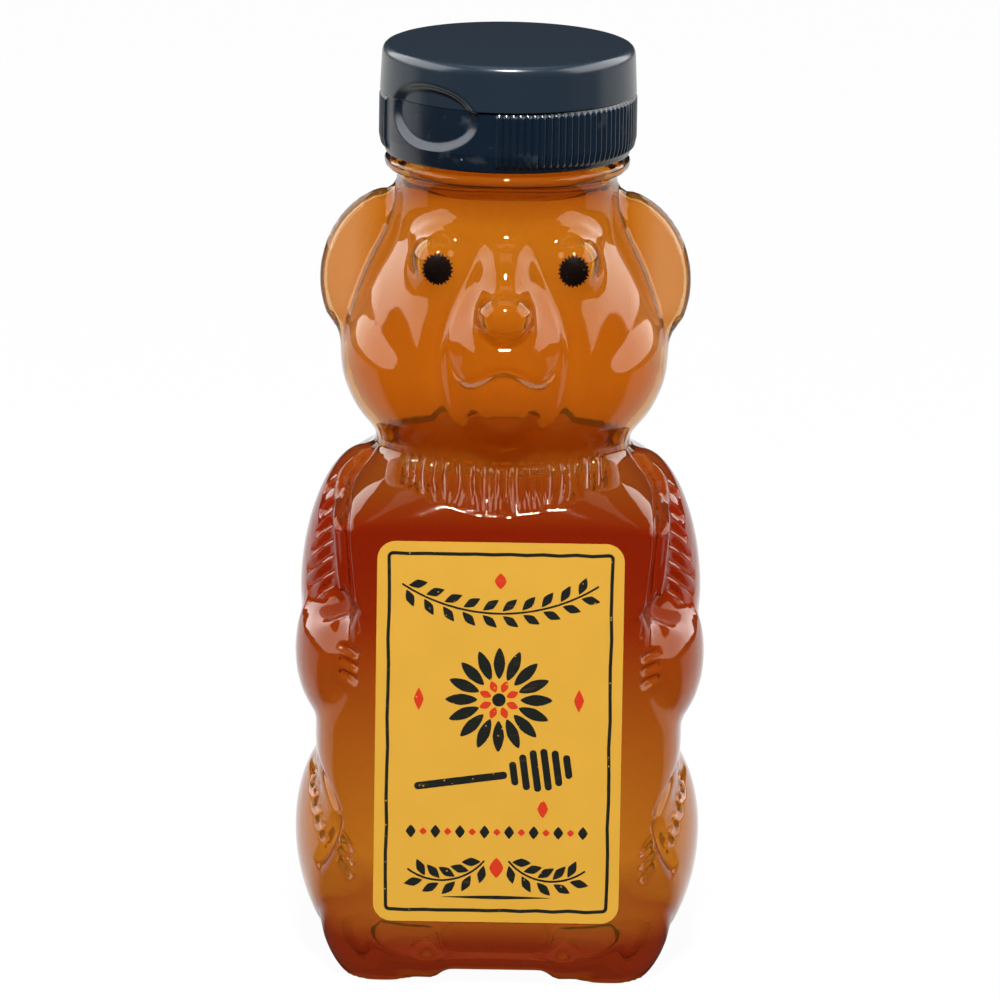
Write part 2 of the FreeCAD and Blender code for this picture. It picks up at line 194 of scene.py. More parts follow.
# Hollow between the feet: its slopes across and in depth, how far it is pressed in and lifted, and how high
FEET_GAP_ACROSS = (10.5, 7.0)
FEET_GAP_FRONT = (-12.0, -19.0)
FEET_GAP_PRESS = 1.6
FEET_GAP_PRESS_SPAN = (11.0, 5.0)
FEET_GAP_LIFT = 1.5
FEET_GAP_LIFT_SPAN = (3.0, 0.0)
# Ears: where they part from the head, how far before and behind they reach, and the slopes of their hollow
EAR_PARTS = (1.05, 1.15)
EAR_REACH = 1.4
EAR_HOLLOW_RIM = (0.9, 0.5)
EAR_HOLLOW_SIDE = (14.0, 20.0)
# The skin is divided finely this near to a stroke, an eye and the nose
FINE_STROKE = 2.0
FINE_EYE = 6.4
FINE_NOSE = 7.0
FINE_SMOOTHING = 10
STROKE_STEPS = 32
# A stroke is felt this many of its widths away
STROKE_REACH = 3.0
# Rays that look for the front of the skin start here
RAY_START = -80.0
RAY_WAY = Vector((0.0, 1.0, 0.0))
# Printed pupils: drop below the solid's middle, height for width, the ink's lift and thickness, and its
# ragged edge, as height, count and shift of its waves, their drop, and the share of the radius they take
PUPIL_DROP = 0.7
PUPIL_TALL = 1.08
PUPIL_LIFT = 0.03
PUPIL_INK = 0.05
PUPIL_STEPS = 40
PUPIL_CUTS = 5
PUPIL_WAVES = ((0.06, 23, 1), (0.05, 37, 0))
PUPIL_SHRINK = 0.05
PUPIL_EDGE = (0.6, 1.0)
EYE_INK = (0.008, 0.004, 0.003)
EYE_WORN = (0.12, 0.05, 0.015)

# Neck of the bottle above the cut: radius and height, up the outside, over the rim and down the bore
NECK_OUTSIDE = (
    (17.9, 131.6),
    (18.2, 131.85),
    (19.3, 131.95),
    (19.75, 132.2),
    (19.9, 132.6),
    (19.9, 133.3),
    (19.7, 133.65),
    (19.2, 133.88),
    (17.8, 133.95),
    (17.5, 134.25),
    (17.5, 143.5),
    (17.35, 143.85),
    (17.0, 144.0),
    (16.3, 144.0),
    (15.95, 143.85),
    (15.8, 143.5),
    (15.8, 130.2),
    (16.4, 129.4),
)
# Screw threads: root and crest radius, turns and where each begins, in radians
THREAD_PITCH = 4.233
THREAD_WIDTHS = (2.2, 1.0)
THREAD_HEIGHT = 136.5
THREAD_STEPS = 96
THREAD_FADE = 0.06
BOTTLE_THREAD = (17.2, 18.6, 1.25, 0.0)
CAP_THREAD = (19.1, 17.75, 1.0, math.pi)

# Cap base and lid in section: radius, height and corner rounding, in millimetres
CAP_SECTION = (
    (18.85, 134.5, 0.15),
    (19.9, 134.5, 0.45),
    (20.5, 137.4, 0.3),
    (20.5, 144.5, 0.18),
    (18.75, 144.5, 0.1),
    (18.75, 146.2, 0.4),
    (7.4, 146.2, 0.5),
    (4.8, 149.2, 0.45),
    (3.2, 149.2, 0.25),
    (3.2, 145.0, 0.1),
    (17.75, 145.0, 0.1),
    (17.75, 143.0, 0.1),
    (18.85, 143.0, 0.1),
)
LID_SECTION = (
    (0.0, 152.2, 0.0),
    (20.55, 152.2, 1.6),
    (20.9, 144.6, 0.18),
    (19.1, 144.6, 0.12),
    (19.1, 150.7, 0.5),
    (2.7, 150.7, 0.3),
    (2.7, 147.2, 0.15),
    (1.7, 147.2, 0.15),
    (1.7, 150.7, 0.1),
    (0.0, 150.7, 0.0),
)
# Grip ribs with the heights over which they rise and end, and how much of them the grooves keep. The
# thumb's half span in degrees and its edge in radians, its oval notch, and the flat under the hinge
RIB_COUNT = 108
RIB_HEIGHT = 0.5
RIB_FOOT = (135.3, 135.9)
RIB_TOP = (144.3, 143.9)
RIB_GROOVE = 0.15
THUMB_HALF_SPAN = 33.0
THUMB_EDGE = 0.01
POCKET_HALF = (9.6, 5.6)
POCKET_HEIGHT = 142.9
POCKET_FLOOR = 19.7
POCKET_WALL = (1.0, 0.76)
HINGE_FLAT = 19.9
# Sections of cap and lid are divided in this step outside this radius, with this many points on a corner
CAP_STEP = 0.28
CAP_OUTSIDE = 19.5
CORNER_POINTS = 6
# Steps round the lid, the radius past which ribs rise, and the gap at which points are merged
LID_STEPS = 640
RIB_INSIDE = 19.7
MERGE_GAP = 0.002
# Foam seal: rounding of its edges and steps round it
SEAL_ROUNDING = 0.2
SEAL_STEPS = 128
# Shading is smooth up to these angles, in degrees
SKIN_ANGLE = 70
HONEY_ANGLE = 60
CAP_ANGLE = 48
SMALL_ANGLE = 40
PAPER_ANGLE = 30
# Colour of the dust on the cap, and the specks, scuffs and mottling that the materials share
DUST = (0.25, 0.2775, 0.305)
SPECK_RARITY = 0.86
SCUFF_TURN = (0.4, 0.3, 0.7)
SCUFF_STRETCH = (1.0, 9.0, 5.0)
SCUFF_SPAN = (0.6, 0.75)
MOTTLE_SPAN = (0.3, 0.7)
# Hinge strap: thickness, edge rounding, depth and width of its thin line, its cuts, and where it bends
STRAP_THICK = 0.4
STRAP_EDGE = 0.12
STRAP_NECK = 0.2
STRAP_NECK_WIDTH = 0.25
STRAP_CUT = 0.1
STRAP_CUTS = 12

# Print on the label: stems and leaves, the flower, the dipper, the row of beads and the border's waver
STEM_HALF = 0.16
STEM_OVERLAP = 0.62
LEAF_HALF = (0.72, 1.55)
LEAF_OFF = 1.35
LEAF_LEAN = 38
LEAF_PINCH = 0.45
FLOWER = (0.0, 5.6)
PETALS = 16
PETAL_RING = 6.1
SEEDS = 8
SEED_RING = 2.35
DIPPER_TURN = 8
DIPPER_DISCS = (2.0, 3.0, 3.5, 3.5, 3.0, 2.0)
BEADS = 15
BAR_ROUND = 0.96
SPOT_STEPS = 28
CORNER_CUTS = 8
BORDER_CORNER = 0.3
BORDER_CUTS = 12
BORDER_WOBBLE = 0.09
BORDER_WAVES = (0.9, 1.1)

# Room and lamps: name, place and size in metres, power in watts, and whether the lamp is for gloss alone
ROOM_DARK = 0.03
ROOM_WHITE = 0.9
LAMP_AIM = (0.0, 0.0, 0.09)
LAMPS = (
    ("left", (-1.42, 0.3, 0.9), (2.9, 1.4), 58.0, True),
    ("right", (1.42, 0.3, 0.9), (2.9, 1.4), 56.0, True),
    ("overhead", (0.0, 0.05, 1.3), (0.9, 0.7), 2.0, False),
    ("front", (0.0, -1.2, 1.6), (0.2, 0.16), 56.0, False),
)
FLOOR_SIZE = 6.0
FLOOR_LEVEL = -0.02
# In gloss the floor fades from dark grey before the bottle to white behind it, over a span of Y in metres
FLOOR_FADE = (0.0, 0.03)
FLOOR_DARK = (0.04, 0.04, 0.04)
FLOOR_WHITE = (0.95, 0.95, 0.95)
FLOOR_GLOW = 0.97


def length_setting(name, description, millimetres):
    """A size that a user may change, written in millimetres."""
    return FloatProperty(name=name, description=description, default=millimetres * MM, unit="LENGTH")


def colour_setting(name, description, default):
    """A colour that a user may change."""
    return FloatVectorProperty(name=name, description=description, subtype="COLOR", default=default)


class SkinSettings(bpy.types.PropertyGroup):
    """Sizes and tints of the bottle's skin; some tints are painted shade and painted light."""

    wall: length_setting("Wall", "Thickness of the moulded wall", 0.8)
    voxel: length_setting("Voxel", "Grid on which the masses are merged", 1.0)
    smoothing: IntProperty(name="Smoothing", description="Passes that round the merged masses", default=4)
    head_smoothing: IntProperty(
        name="Head smoothing", description="More passes for the head alone", default=8
    )
    fur_depth: length_setting("Fur depth", "Depth of the fur strokes", 0.9)
    ear_dish: length_setting("Ear dish", "Depth of the hollow in each ear", 1.3)
    brow_tint: colour_setting(
        "Brow tint", "Colour of the upper head, where honey has run off the plastic", (0.75, 0.37, 0.045)
    )
    jaw_tint: colour_setting(
        "Jaw tint", "Colour of the lower head, where the film of honey is thicker", (0.73, 0.32, 0.03)
    )
    neck_tint: colour_setting(
        "Neck tint", "Colour just above the fill line and in the bottle's neck", (0.62, 0.24, 0.03)
    )
    # The ears' paler tint: they hold little honey, and the paleness is partly a painted highlight
    ear_tint_and_painted_highlight: colour_setting("Ear tint", "Colour of the ears, which hold little honey", (0.82, 0.5, 0.24))
    # Painted shade: the chest is tinted darker just under the fill line
    chest_painted_shade: colour_setting(
        "Chest tint", "Colour at the chest, just under the fill line", (0.52, 0.045, 0.008)
    )
    # Painted light: the body is tinted lighter above the feet, where most light comes in
    foot_painted_light: colour_setting(
        "Foot tint", "Colour above the feet, where most light comes in", (1.0, 0.5, 0.06)
    )
    # Painted shade: the soles are tinted dark at the base
    sole_painted_shade: colour_setting(
        "Sole tint", "Colour of the soles, darkened as painted shade", (0.47, 0.075, 0.025)
    )
    # Painted shade: this dark tint darkens the wall where it is seen on edge, along the outline
    edge_painted_shade: colour_setting("Edge tint", "Colour where the wall is seen on edge", (0.26, 0.06, 0.01))


class HoneySettings(bpy.types.PropertyGroup):
    """Colour and fit of the honey."""

    skin: length_setting("Skin", "Clear layer over the honey, whose upper side shines", 0.1)
    absorbs: colour_setting("Colour", "Colour that passes through", (0.68, 0.42, 0.1))
    density: FloatProperty(name="Density", description="Absorption per metre", default=46.0)


class LabelSettings(bpy.types.PropertyGroup):
    """Sizes and inks of the label."""

    corner: length_setting("Corner", "Corner radius", 3.0)
    margin: length_setting("Margin", "Paper outside the border line", 1.7)
    line: length_setting("Line", "Width of the border line", 0.55)
    ink: length_setting("Ink", "Thickness of the print", 0.02)
    paper: colour_setting("Paper", "Label colour", (0.86, 0.455, 0.048))
    dark_ink: colour_setting("Dark ink", "Colour of the dark print", (0.012, 0.014, 0.011))
    red_ink: colour_setting("Red ink", "Colour of the accents", (0.74, 0.045, 0.013))


class CapSettings(bpy.types.PropertyGroup):
    """Finish of the cap."""

    plastic: colour_setting("Plastic", "Cap colour", (0.005, 0.013, 0.026))
    turns: IntProperty(name="Steps per rib", description="Mesh steps across each grip rib", default=6)


class StageSettings(bpy.types.PropertyGroup):
    """Camera."""

    distance: FloatProperty(name="Distance", description="Camera distance", default=1.7, unit="LENGTH")
    elevation: FloatProperty(
        name="Elevation", description="Camera above the horizon", default=math.radians(13.2), unit="ROTATION"
    )
    roll: FloatProperty(
        name="Roll", description="Turn of the picture", default=math.radians(0.9), unit="ROTATION"
    )
    aim: length_setting("Aim", "Height the camera looks at", 76.0)
    sideways: length_setting("Sideways", "Camera's offset to the right", -0.33)
    lens: FloatProperty(name="Lens", description="Focal length in millimetres", default=373.0)


def read_points(obj):
    """The vertices of a mesh object as an array, in metres."""
    points = np.empty(len(obj.data.vertices) * 3)
    obj.data.vertices.foreach_get("co", points)
    return points.reshape(-1, 3)


def write_points(obj, points):
    """Moves the vertices of a mesh object."""
    obj.data.vertices.foreach_set("co", np.ascontiguousarray(points, dtype=float).ravel())
    obj.data.update()


def read_normals(obj):
    """The vertex normals of a mesh object as an array."""
    normals = np.empty(len(obj.data.vertices) * 3)
    obj.data.vertex_normals.foreach_get("vector", normals)
    return normals.reshape(-1, 3)


def smoothstep(low, high, value):
    """0 below low, 1 above high and a soft ramp between."""
    share = np.clip((value - low) / (high - low), 0.0, 1.0)
    return share * share * (3.0 - 2.0 * share)


def select_only(*objects):
    """Selects these objects alone and makes the first one active."""
    bpy.ops.object.select_all(action="DESELECT")
    for obj in objects:
        obj.select_set(True)
    bpy.context.view_layer.objects.active = objects[0]


def joined(objects):
    """Joins mesh objects into the first one."""
    select_only(*objects)
    bpy.ops.object.join()
    return bpy.context.object


def duplicate(obj):
    """A copy of a mesh object with its own mesh."""
    copy = obj.copy()
    copy.data = obj.data.copy()
    bpy.context.collection.objects.link(copy)
    return copy


def apply_place(obj):
    """Moves an object's place, turn and scale into its mesh."""
    select_only(obj)
    bpy.ops.object.transform_apply(location=True, rotation=True, scale=True)


def edit_all(obj):
    """Enters edit mode with the whole mesh selected."""
    select_only(obj)
    bpy.ops.object.mode_set(mode="EDIT")
    bpy.ops.mesh.select_all(action="SELECT")


def edit_none(obj, kind):
    """Enters edit mode on vertices, edges or faces, with nothing selected."""
    select_only(obj)
    bpy.ops.object.mode_set(mode="EDIT")
    bpy.ops.mesh.select_mode(type=kind)
    bpy.ops.mesh.select_all(action="DESELECT")


def leave_edit():
    """Back to object mode."""
    bpy.ops.object.mode_set(mode="OBJECT")


def edit_chosen(obj, kind, chosen):
    """Enters edit mode with the chosen vertices or faces selected."""
    edit_none(obj, kind)
    leave_edit()
    parts = obj.data.vertices if kind == "VERT" else obj.data.polygons
    parts.foreach_set("select", chosen)
    bpy.ops.object.mode_set(mode="EDIT")


def face_outwards(obj, close=False):
    """Turns a mesh's faces outwards, after closing its open ends if asked."""
    edit_all(obj)
    if close:
        bpy.ops.mesh.fill_holes(sides=0)
    bpy.ops.mesh.normals_make_consistent(inside=False)
    leave_edit()


def apply_modifier(obj, modifier):
    """Applies one of an object's modifiers."""
    select_only(obj)
    bpy.ops.object.modifier_apply(modifier=modifier.name)


def new_circle(vertices, fill, radius=1.0):
    """A circle at the origin, open or filled."""
    bpy.ops.object.select_all(action="DESELECT")
    bpy.ops.mesh.primitive_circle_add(vertices=vertices, radius=radius, fill_type=fill)
    return bpy.context.object


def tie(obj, name, body, material, nodes=()):
    """Names a finished piece, gives it its material, attaches it to its body and hides the solids it
    replaces.
    """
    obj.name = name
    obj.data.name = name
    obj.data.materials.clear()
    obj.data.materials.append(material)
    if body:
        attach(obj, body)
    if nodes:
        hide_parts(*nodes)


def new_group(name, inputs, outputs):
    """An empty shader node group with named sockets, given as (name, socket type, default)."""
    group = bpy.data.node_groups.new(name, "ShaderNodeTree")
    for label, kind, default in inputs:
        socket = group.interface.new_socket(label, in_out="INPUT", socket_type=kind)
        if default is not None:
            socket.default_value = default
    for label, kind in outputs:
        group.interface.new_socket(label, in_out="OUTPUT", socket_type=kind)
    return group, group.nodes.new("NodeGroupInput"), group.nodes.new("NodeGroupOutput")


def link_or_set(tree, socket, value):
    """Links an input to another socket, or sets its value."""
    if isinstance(value, bpy.types.NodeSocket):
        tree.links.new(value, socket)
    else:
        socket.default_value = value


def feed(tree, node, **inputs):
    """Links or sets a node's inputs by name."""
    for name, value in inputs.items():
        link_or_set(tree, node.inputs[name.replace("_", " ")], value)
    return node


def add_node(tree, kind, **inputs):
    """A new node with some of its inputs linked or set."""
    return feed(tree, tree.nodes.new(kind), **inputs)


def combine(tree, operation, first, second=0.0):
    """The result of a maths node on two numbers or sockets."""
    node = tree.nodes.new("ShaderNodeMath")
    node.operation = operation
    for socket, value in zip(node.inputs, (first, second)):
        link_or_set(tree, socket, value)
    return node.outputs["Value"]


def ramp(tree, value, span, ends=(0.0, 1.0)):
    """A number that goes from one end to the other as a value crosses a span."""
    node = add_node(tree, "ShaderNodeMapRange", Value=value, From_Min=span[0], From_Max=span[1])
    return feed(tree, node, To_Min=ends[0], To_Max=ends[1]).outputs["Result"]


def blend_colour(tree, mask, first, second):
    """A colour between two, by a mask."""
    mix = tree.nodes.new("ShaderNodeMix")
    mix.data_type = "RGBA"
    tree.links.new(mask, mix.inputs["Factor"])
    for name, colour in (("A", first), ("B", second)):
        linked = isinstance(colour, bpy.types.NodeSocket)
        link_or_set(tree, mix.inputs[name], colour if linked else (*colour, 1.0))
    return mix.outputs["Result"]


def mottle_group():
    """Soft noise between two values, for gloss that varies over a surface."""
    name = "Mottle"
    if name in bpy.data.node_groups:
        return bpy.data.node_groups[name]
    sockets = [
        ("Vector", "NodeSocketVector", None),
        ("Scale", "NodeSocketFloat", 200.0),
        ("Low", "NodeSocketFloat", 0.2),
        ("High", "NodeSocketFloat", 0.3),
    ]
    group, given, made = new_group(name, sockets, [("Value", "NodeSocketFloat")])
    given = given.outputs
    noise = add_node(group, "ShaderNodeTexNoise", Vector=given["Vector"], Scale=given["Scale"], Detail=5.0)
    value = ramp(group, noise.outputs["Fac"], MOTTLE_SPAN, (given["Low"], given["High"]))
    group.links.new(value, made.inputs["Value"])
    return group


def speck_group():
    """Dust specks and faint scuffs: a mask made of sparse cells and stretched noise."""
    name = "Specks and scuffs"
    if name in bpy.data.node_groups:
        return bpy.data.node_groups[name]
    sockets = [
        ("Vector", "NodeSocketVector", None),
        ("Speck Scale", "NodeSocketFloat", 420.0),
        ("Speck Size", "NodeSocketFloat", 0.09),
        ("Scuff Scale", "NodeSocketFloat", 60.0),
        ("Scuff Strength", "NodeSocketFloat", 0.15),
    ]
    group, given, made = new_group(name, sockets, [("Mask", "NodeSocketFloat")])
    given = given.outputs
    cells = add_node(group, "ShaderNodeTexVoronoi", Vector=given["Vector"], Scale=given["Speck Scale"])
    near = combine(group, "LESS_THAN", cells.outputs["Distance"], given["Speck Size"])
    draw = add_node(group, "ShaderNodeSeparateColor", Color=cells.outputs["Color"])
    few = combine(group, "GREATER_THAN", draw.outputs["Red"], SPECK_RARITY)
    specks = combine(group, "MULTIPLY", near, few)
    stretch = add_node(group, "ShaderNodeMapping", Vector=given["Vector"])
    feed(group, stretch, Rotation=SCUFF_TURN, Scale=SCUFF_STRETCH)
    noise = add_node(group, "ShaderNodeTexNoise", Vector=stretch.outputs["Vector"], Detail=6.0)
    feed(group, noise, Scale=given["Scuff Scale"])
    scuffs = ramp(group, noise.outputs["Fac"], SCUFF_SPAN, (0.0, given["Scuff Strength"]))
    group.links.new(combine(group, "MAXIMUM", specks, scuffs), made.inputs["Mask"])
    return group


def place_group(tree, group, **inputs):
    """The output of a node group, placed in a material with its own values."""
    node = tree.nodes.new("ShaderNodeGroup")
    node.node_tree = group
    return feed(tree, node, **inputs).outputs[0]


def mottle(tree, place, scale, low=0.0, high=1.0):
    """Soft noise from low to high over a material."""
    return place_group(tree, mottle_group(), Vector=place, Scale=scale, Low=low, High=high)


def new_material(name):
    """A material with its tree, its Principled shader and its object coordinates."""
    material = bpy.data.materials.new(name)
    material.use_nodes = True
    tree = material.node_tree
    shader = tree.nodes["Principled BSDF"]
    place = tree.nodes.new("ShaderNodeTexCoord").outputs["Object"]
    return material, tree, shader, place


def bump_into(tree, shader, height, strength, distance):
    """Feeds a height into the shader's normal, with the bump's depth in millimetres."""
    bump = add_node(tree, "ShaderNodeBump", Strength=strength, Distance=distance * MM, Height=height)
    tree.links.new(bump.outputs["Normal"], shader.inputs["Normal"])


def film_and_painted_light_colour(tree, height, settings, fill_level):
    """The bottle's tints up its height: painted shade at the soles and chest, painted light above the feet,
    and the honey film's colour above the fill line.
    """
    # The sole and chest tints paint shade, and the foot tint paints light
    bands = (
        (SOLE_SHADE_SPAN, settings.sole_painted_shade),
        (FOOT_LIGHT_SPAN, settings.foot_painted_light),
        (CHEST_SHADE_SPAN, settings.chest_painted_shade),
        ((fill_level / MM,), settings.neck_tint),
        (JAW_SPAN, settings.jaw_tint),
        (BROW_SPAN, settings.brow_tint),
        ((NECK_CUT,), settings.neck_tint),
    )
    stops = [(level, tint) for span, tint in bands for level in span]
    film = add_node(tree, "ShaderNodeValToRGB", Fac=ramp(tree, height, (0.0, NECK_CUT * MM)))
    for _ in stops[2:]:
        film.color_ramp.elements.new(0.5)
    for stop, (level, tint) in zip(film.color_ramp.elements, stops):
        stop.position = level / NECK_CUT
        stop.color = (*tint, 1.0)
    return film.outputs["Color"]


def bottle_material(settings, fill_level):
    """Clear moulded plastic, tinted by height: by the honey below the fill line, with painted shade at the
    soles and chest and painted light above the feet, and by a film of honey above. The ears are paler, partly
    as a painted highlight, and the wall is darkened as painted shade where it is seen on edge.
    """
    material, tree, shader, place = new_material("clear_plastic")
    feed(tree, shader, Transmission_Weight=0.9, IOR=1.33, Specular_IOR_Level=0.9)
    feed(tree, shader, Specular_Tint=(1.0, 0.85, 0.65, 1.0), Roughness=mottle(tree, place, 90.0, 0.02, 0.06))
    axes = add_node(tree, "ShaderNodeSeparateXYZ", Vector=place).outputs
    # Mask of the ears, whose paler tint is partly a painted highlight
    beyond = ramp(tree, combine(tree, "ABSOLUTE", axes["X"]), EAR_SIDE)
    ear = combine(tree, "MULTIPLY", beyond, ramp(tree, axes["Z"], EAR_FOOT))
    film = film_and_painted_light_colour(tree, axes["Z"], settings, fill_level)
    colour = blend_colour(tree, ear, film, settings.ear_tint_and_painted_highlight)
    # Painted shade: Layer Weight darkens the wall where it is seen on edge
    facing = tree.nodes.new("ShaderNodeLayerWeight").outputs["Facing"]
    colour = blend_colour(tree, ramp(tree, facing, EDGE_SHADE_FACING), colour, settings.edge_painted_shade)
    feed(tree, shader, Base_Color=colour)
    bump_into(tree, shader, mottle(tree, place, 45.0), 0.12, 0.3)
    return material


def honey_material(settings):
    """Dark amber liquid that takes its colour from its depth. It bends light as the plastic round it does."""
    material, tree, shader, place = new_material("honey")
    feed(tree, shader, Base_Color=(1.0, 1.0, 1.0, 1.0), Transmission_Weight=1.0, Roughness=0.0, IOR=1.01)
    volume = add_node(tree, "ShaderNodeVolumeAbsorption", Density=settings.density)
    feed(tree, volume, Color=(*settings.absorbs, 1.0))
    tree.links.new(volume.outputs["Volume"], tree.nodes["Material Output"].inputs["Volume"])
    bump_into(tree, shader, mottle(tree, place, 70.0), 0.05, 0.3)
    return material


def paper_material(settings):
    """Coated label paper: even colour with a little mottling and fibre."""
    material, tree, shader, place = new_material("label_paper")
    deeper = tuple(channel * 0.9 for channel in settings.paper)
    colour = blend_colour(tree, mottle(tree, place, 110.0, 0.0, 0.5), settings.paper, deeper)
    feed(tree, shader, Base_Color=colour, Roughness=mottle(tree, place, 600.0, 0.38, 0.5))
    bump_into(tree, shader, mottle(tree, place, 2600.0), 0.12, 0.05)
    return material


def ink_material(name, colour, worn, shine):
    """Printed ink with small pinholes where the paper or plastic shows."""
    material, tree, shader, place = new_material(name)
    specks = {"Speck_Scale": 1500.0, "Speck_Size": 0.22, "Scuff_Scale": 260.0, "Scuff_Strength": 0.12}
    holes = place_group(tree, speck_group(), Vector=place, **specks)
    feed(tree, shader, Base_Color=blend_colour(tree, holes, colour, worn), Specular_IOR_Level=shine)
    feed(tree, shader, Roughness=mottle(tree, place, 900.0, 0.35, 0.5))
    return material


def cap_material(settings):
    """Moulded navy plastic, semi-gloss, with fine grain, dust specks and faint scuffs."""
    material, tree, shader, place = new_material("cap_plastic")
    dust = place_group(tree, speck_group(), Vector=place)
    feed(tree, shader, Base_Color=blend_colour(tree, dust, settings.plastic, DUST), Specular_IOR_Level=0.45)
    feed(tree, shader, Roughness=mottle(tree, place, 160.0, 0.2, 0.28))
    bump_into(tree, shader, mottle(tree, place, 1800.0), 0.06, 0.05)
    return material


def foam_material():
    """Pressed white foam with open cells."""
    material, tree, shader, place = new_material("seal_foam")
    colour = blend_colour(tree, mottle(tree, place, 300.0), (0.82, 0.82, 0.8), (0.72, 0.72, 0.7))
    feed(tree, shader, Base_Color=colour, Roughness=0.8)
    cells = add_node(tree, "ShaderNodeTexVoronoi", Vector=place, Scale=1600.0)
    bump_into(tree, shader, cells.outputs["Distance"], 0.4, 0.15)
    return material


def on_side(mass, side):
    """The centre of a mass on one side of the bear."""
    return np.array((side * mass.centre[0], *mass.centre[1:]))


def add_ball(mass, side):
    """An ellipsoid on one side of the bear."""
    bpy.ops.mesh.primitive_uv_sphere_add(
        segments=BALL_STEPS,
        ring_count=BALL_STEPS // 2,
        radius=1.0,
        location=on_side(mass, side) * MM,
        rotation=(0.0, math.radians(side * mass.lean), 0.0),
        scale=tuple(half * MM for half in mass.half),
    )
    ball = bpy.context.object
    apply_place(ball)
    return ball


def add_column(rings):
    """A disc extruded once for each ring and then drawn to the rings' outlines."""
    column = new_circle(COLUMN_STEPS, "NGON")
    edit_all(column)
    for _ in rings[1:]:
        bpy.ops.mesh.extrude_region_move(TRANSFORM_OT_translate={"value": (0.0, 0.0, 1.0)})
    leave_edit()
    face_outwards(column, close=True)
    points = read_points(column)
    level = np.rint(points[:, 2]).astype(int)
    height, half_width, half_depth, squareness = np.array(rings).T[:, level]
    turn = np.arctan2(points[:, 1], points[:, 0])
    power = 2.0 / squareness
    points[:, 0] = half_width * np.sign(np.cos(turn)) * np.abs(np.cos(turn)) ** power
    points[:, 1] = half_depth * np.sign(np.sin(turn)) * np.abs(np.sin(turn)) ** power
    points[:, 2] = height
    write_points(column, points * MM)
    return column


def torso_rings():
    """The torso's outlines, with its heel rounded as a quarter ellipse."""
    hip = TORSO_RINGS[0]
    rings = []
    for step in range(HEEL_STEPS):
        turn = math.pi / 2 * step / HEEL_STEPS
        share = math.sin(turn)
        rise = hip.height * (1.0 - math.cos(turn))
        sizes = [low + (high - low) * share for low, high in zip(HEEL[1:], hip[1:])]
        rings.append(Ring(rise, *sizes))
    return rings + list(TORSO_RINGS)


def head_rings():
    """The head's outlines, on smooth curves through its main rings."""
    rows = np.array(HEAD_RINGS)
    heights = rows[:, 0]
    slopes = np.gradient(rows, heights, axis=0)
    slopes[:2, 1:] = 0.0
    slopes[-2:, 1:] = 0.0
    rings = []
    for height in np.linspace(heights[0], heights[-1], HEAD_STEPS):
        low = int(np.clip(np.searchsorted(heights, height) - 1, 0, len(heights) - 2))
        gap = heights[low + 1] - heights[low]
        t = (height - heights[low]) / gap
        start = (1 + 2 * t) * (1 - t) ** 2 * rows[low] + t * (1 - t) ** 2 * gap * slopes[low]
        end = t * t * (3 - 2 * t) * rows[low + 1] + t * t * (t - 1) * gap * slopes[low + 1]
        rings.append(Ring(height, *(start + end)[1:]))
    return rings


def block_out(settings):
    """All the bear's masses merged into one smooth skin, open at the neck."""
    pieces = [add_column(torso_rings()), add_column(head_rings())]
    pieces += [add_ball(mass, side) for mass in PAIRED_MASSES for side in (-1, 1)]
    pieces += [add_ball(mass, 1) for mass in MIDDLE_MASSES]
    bear = joined(pieces)
    merge = bear.modifiers.new("Merge", "REMESH")
    merge.mode = "VOXEL"
    merge.voxel_size = settings.voxel
    soften = bear.modifiers.new("Soften", "SMOOTH")
    soften.factor = 0.5
    soften.iterations = settings.smoothing
    apply_modifier(bear, merge)
    apply_modifier(bear, soften)
    edit_chosen(bear, "VERT", read_points(bear)[:, 2] > HEAD_RINGS[1].height * MM)
    bpy.ops.mesh.vertices_smooth(factor=0.5, repeat=settings.head_smoothing)
    bpy.ops.mesh.select_all(action="SELECT")
    bpy.ops.mesh.bisect(plane_co=(0.0, 0.0, NECK_CUT * MM), plane_no=(0.0, 0.0, 1.0), clear_outer=True)
    leave_edit()
    return bear


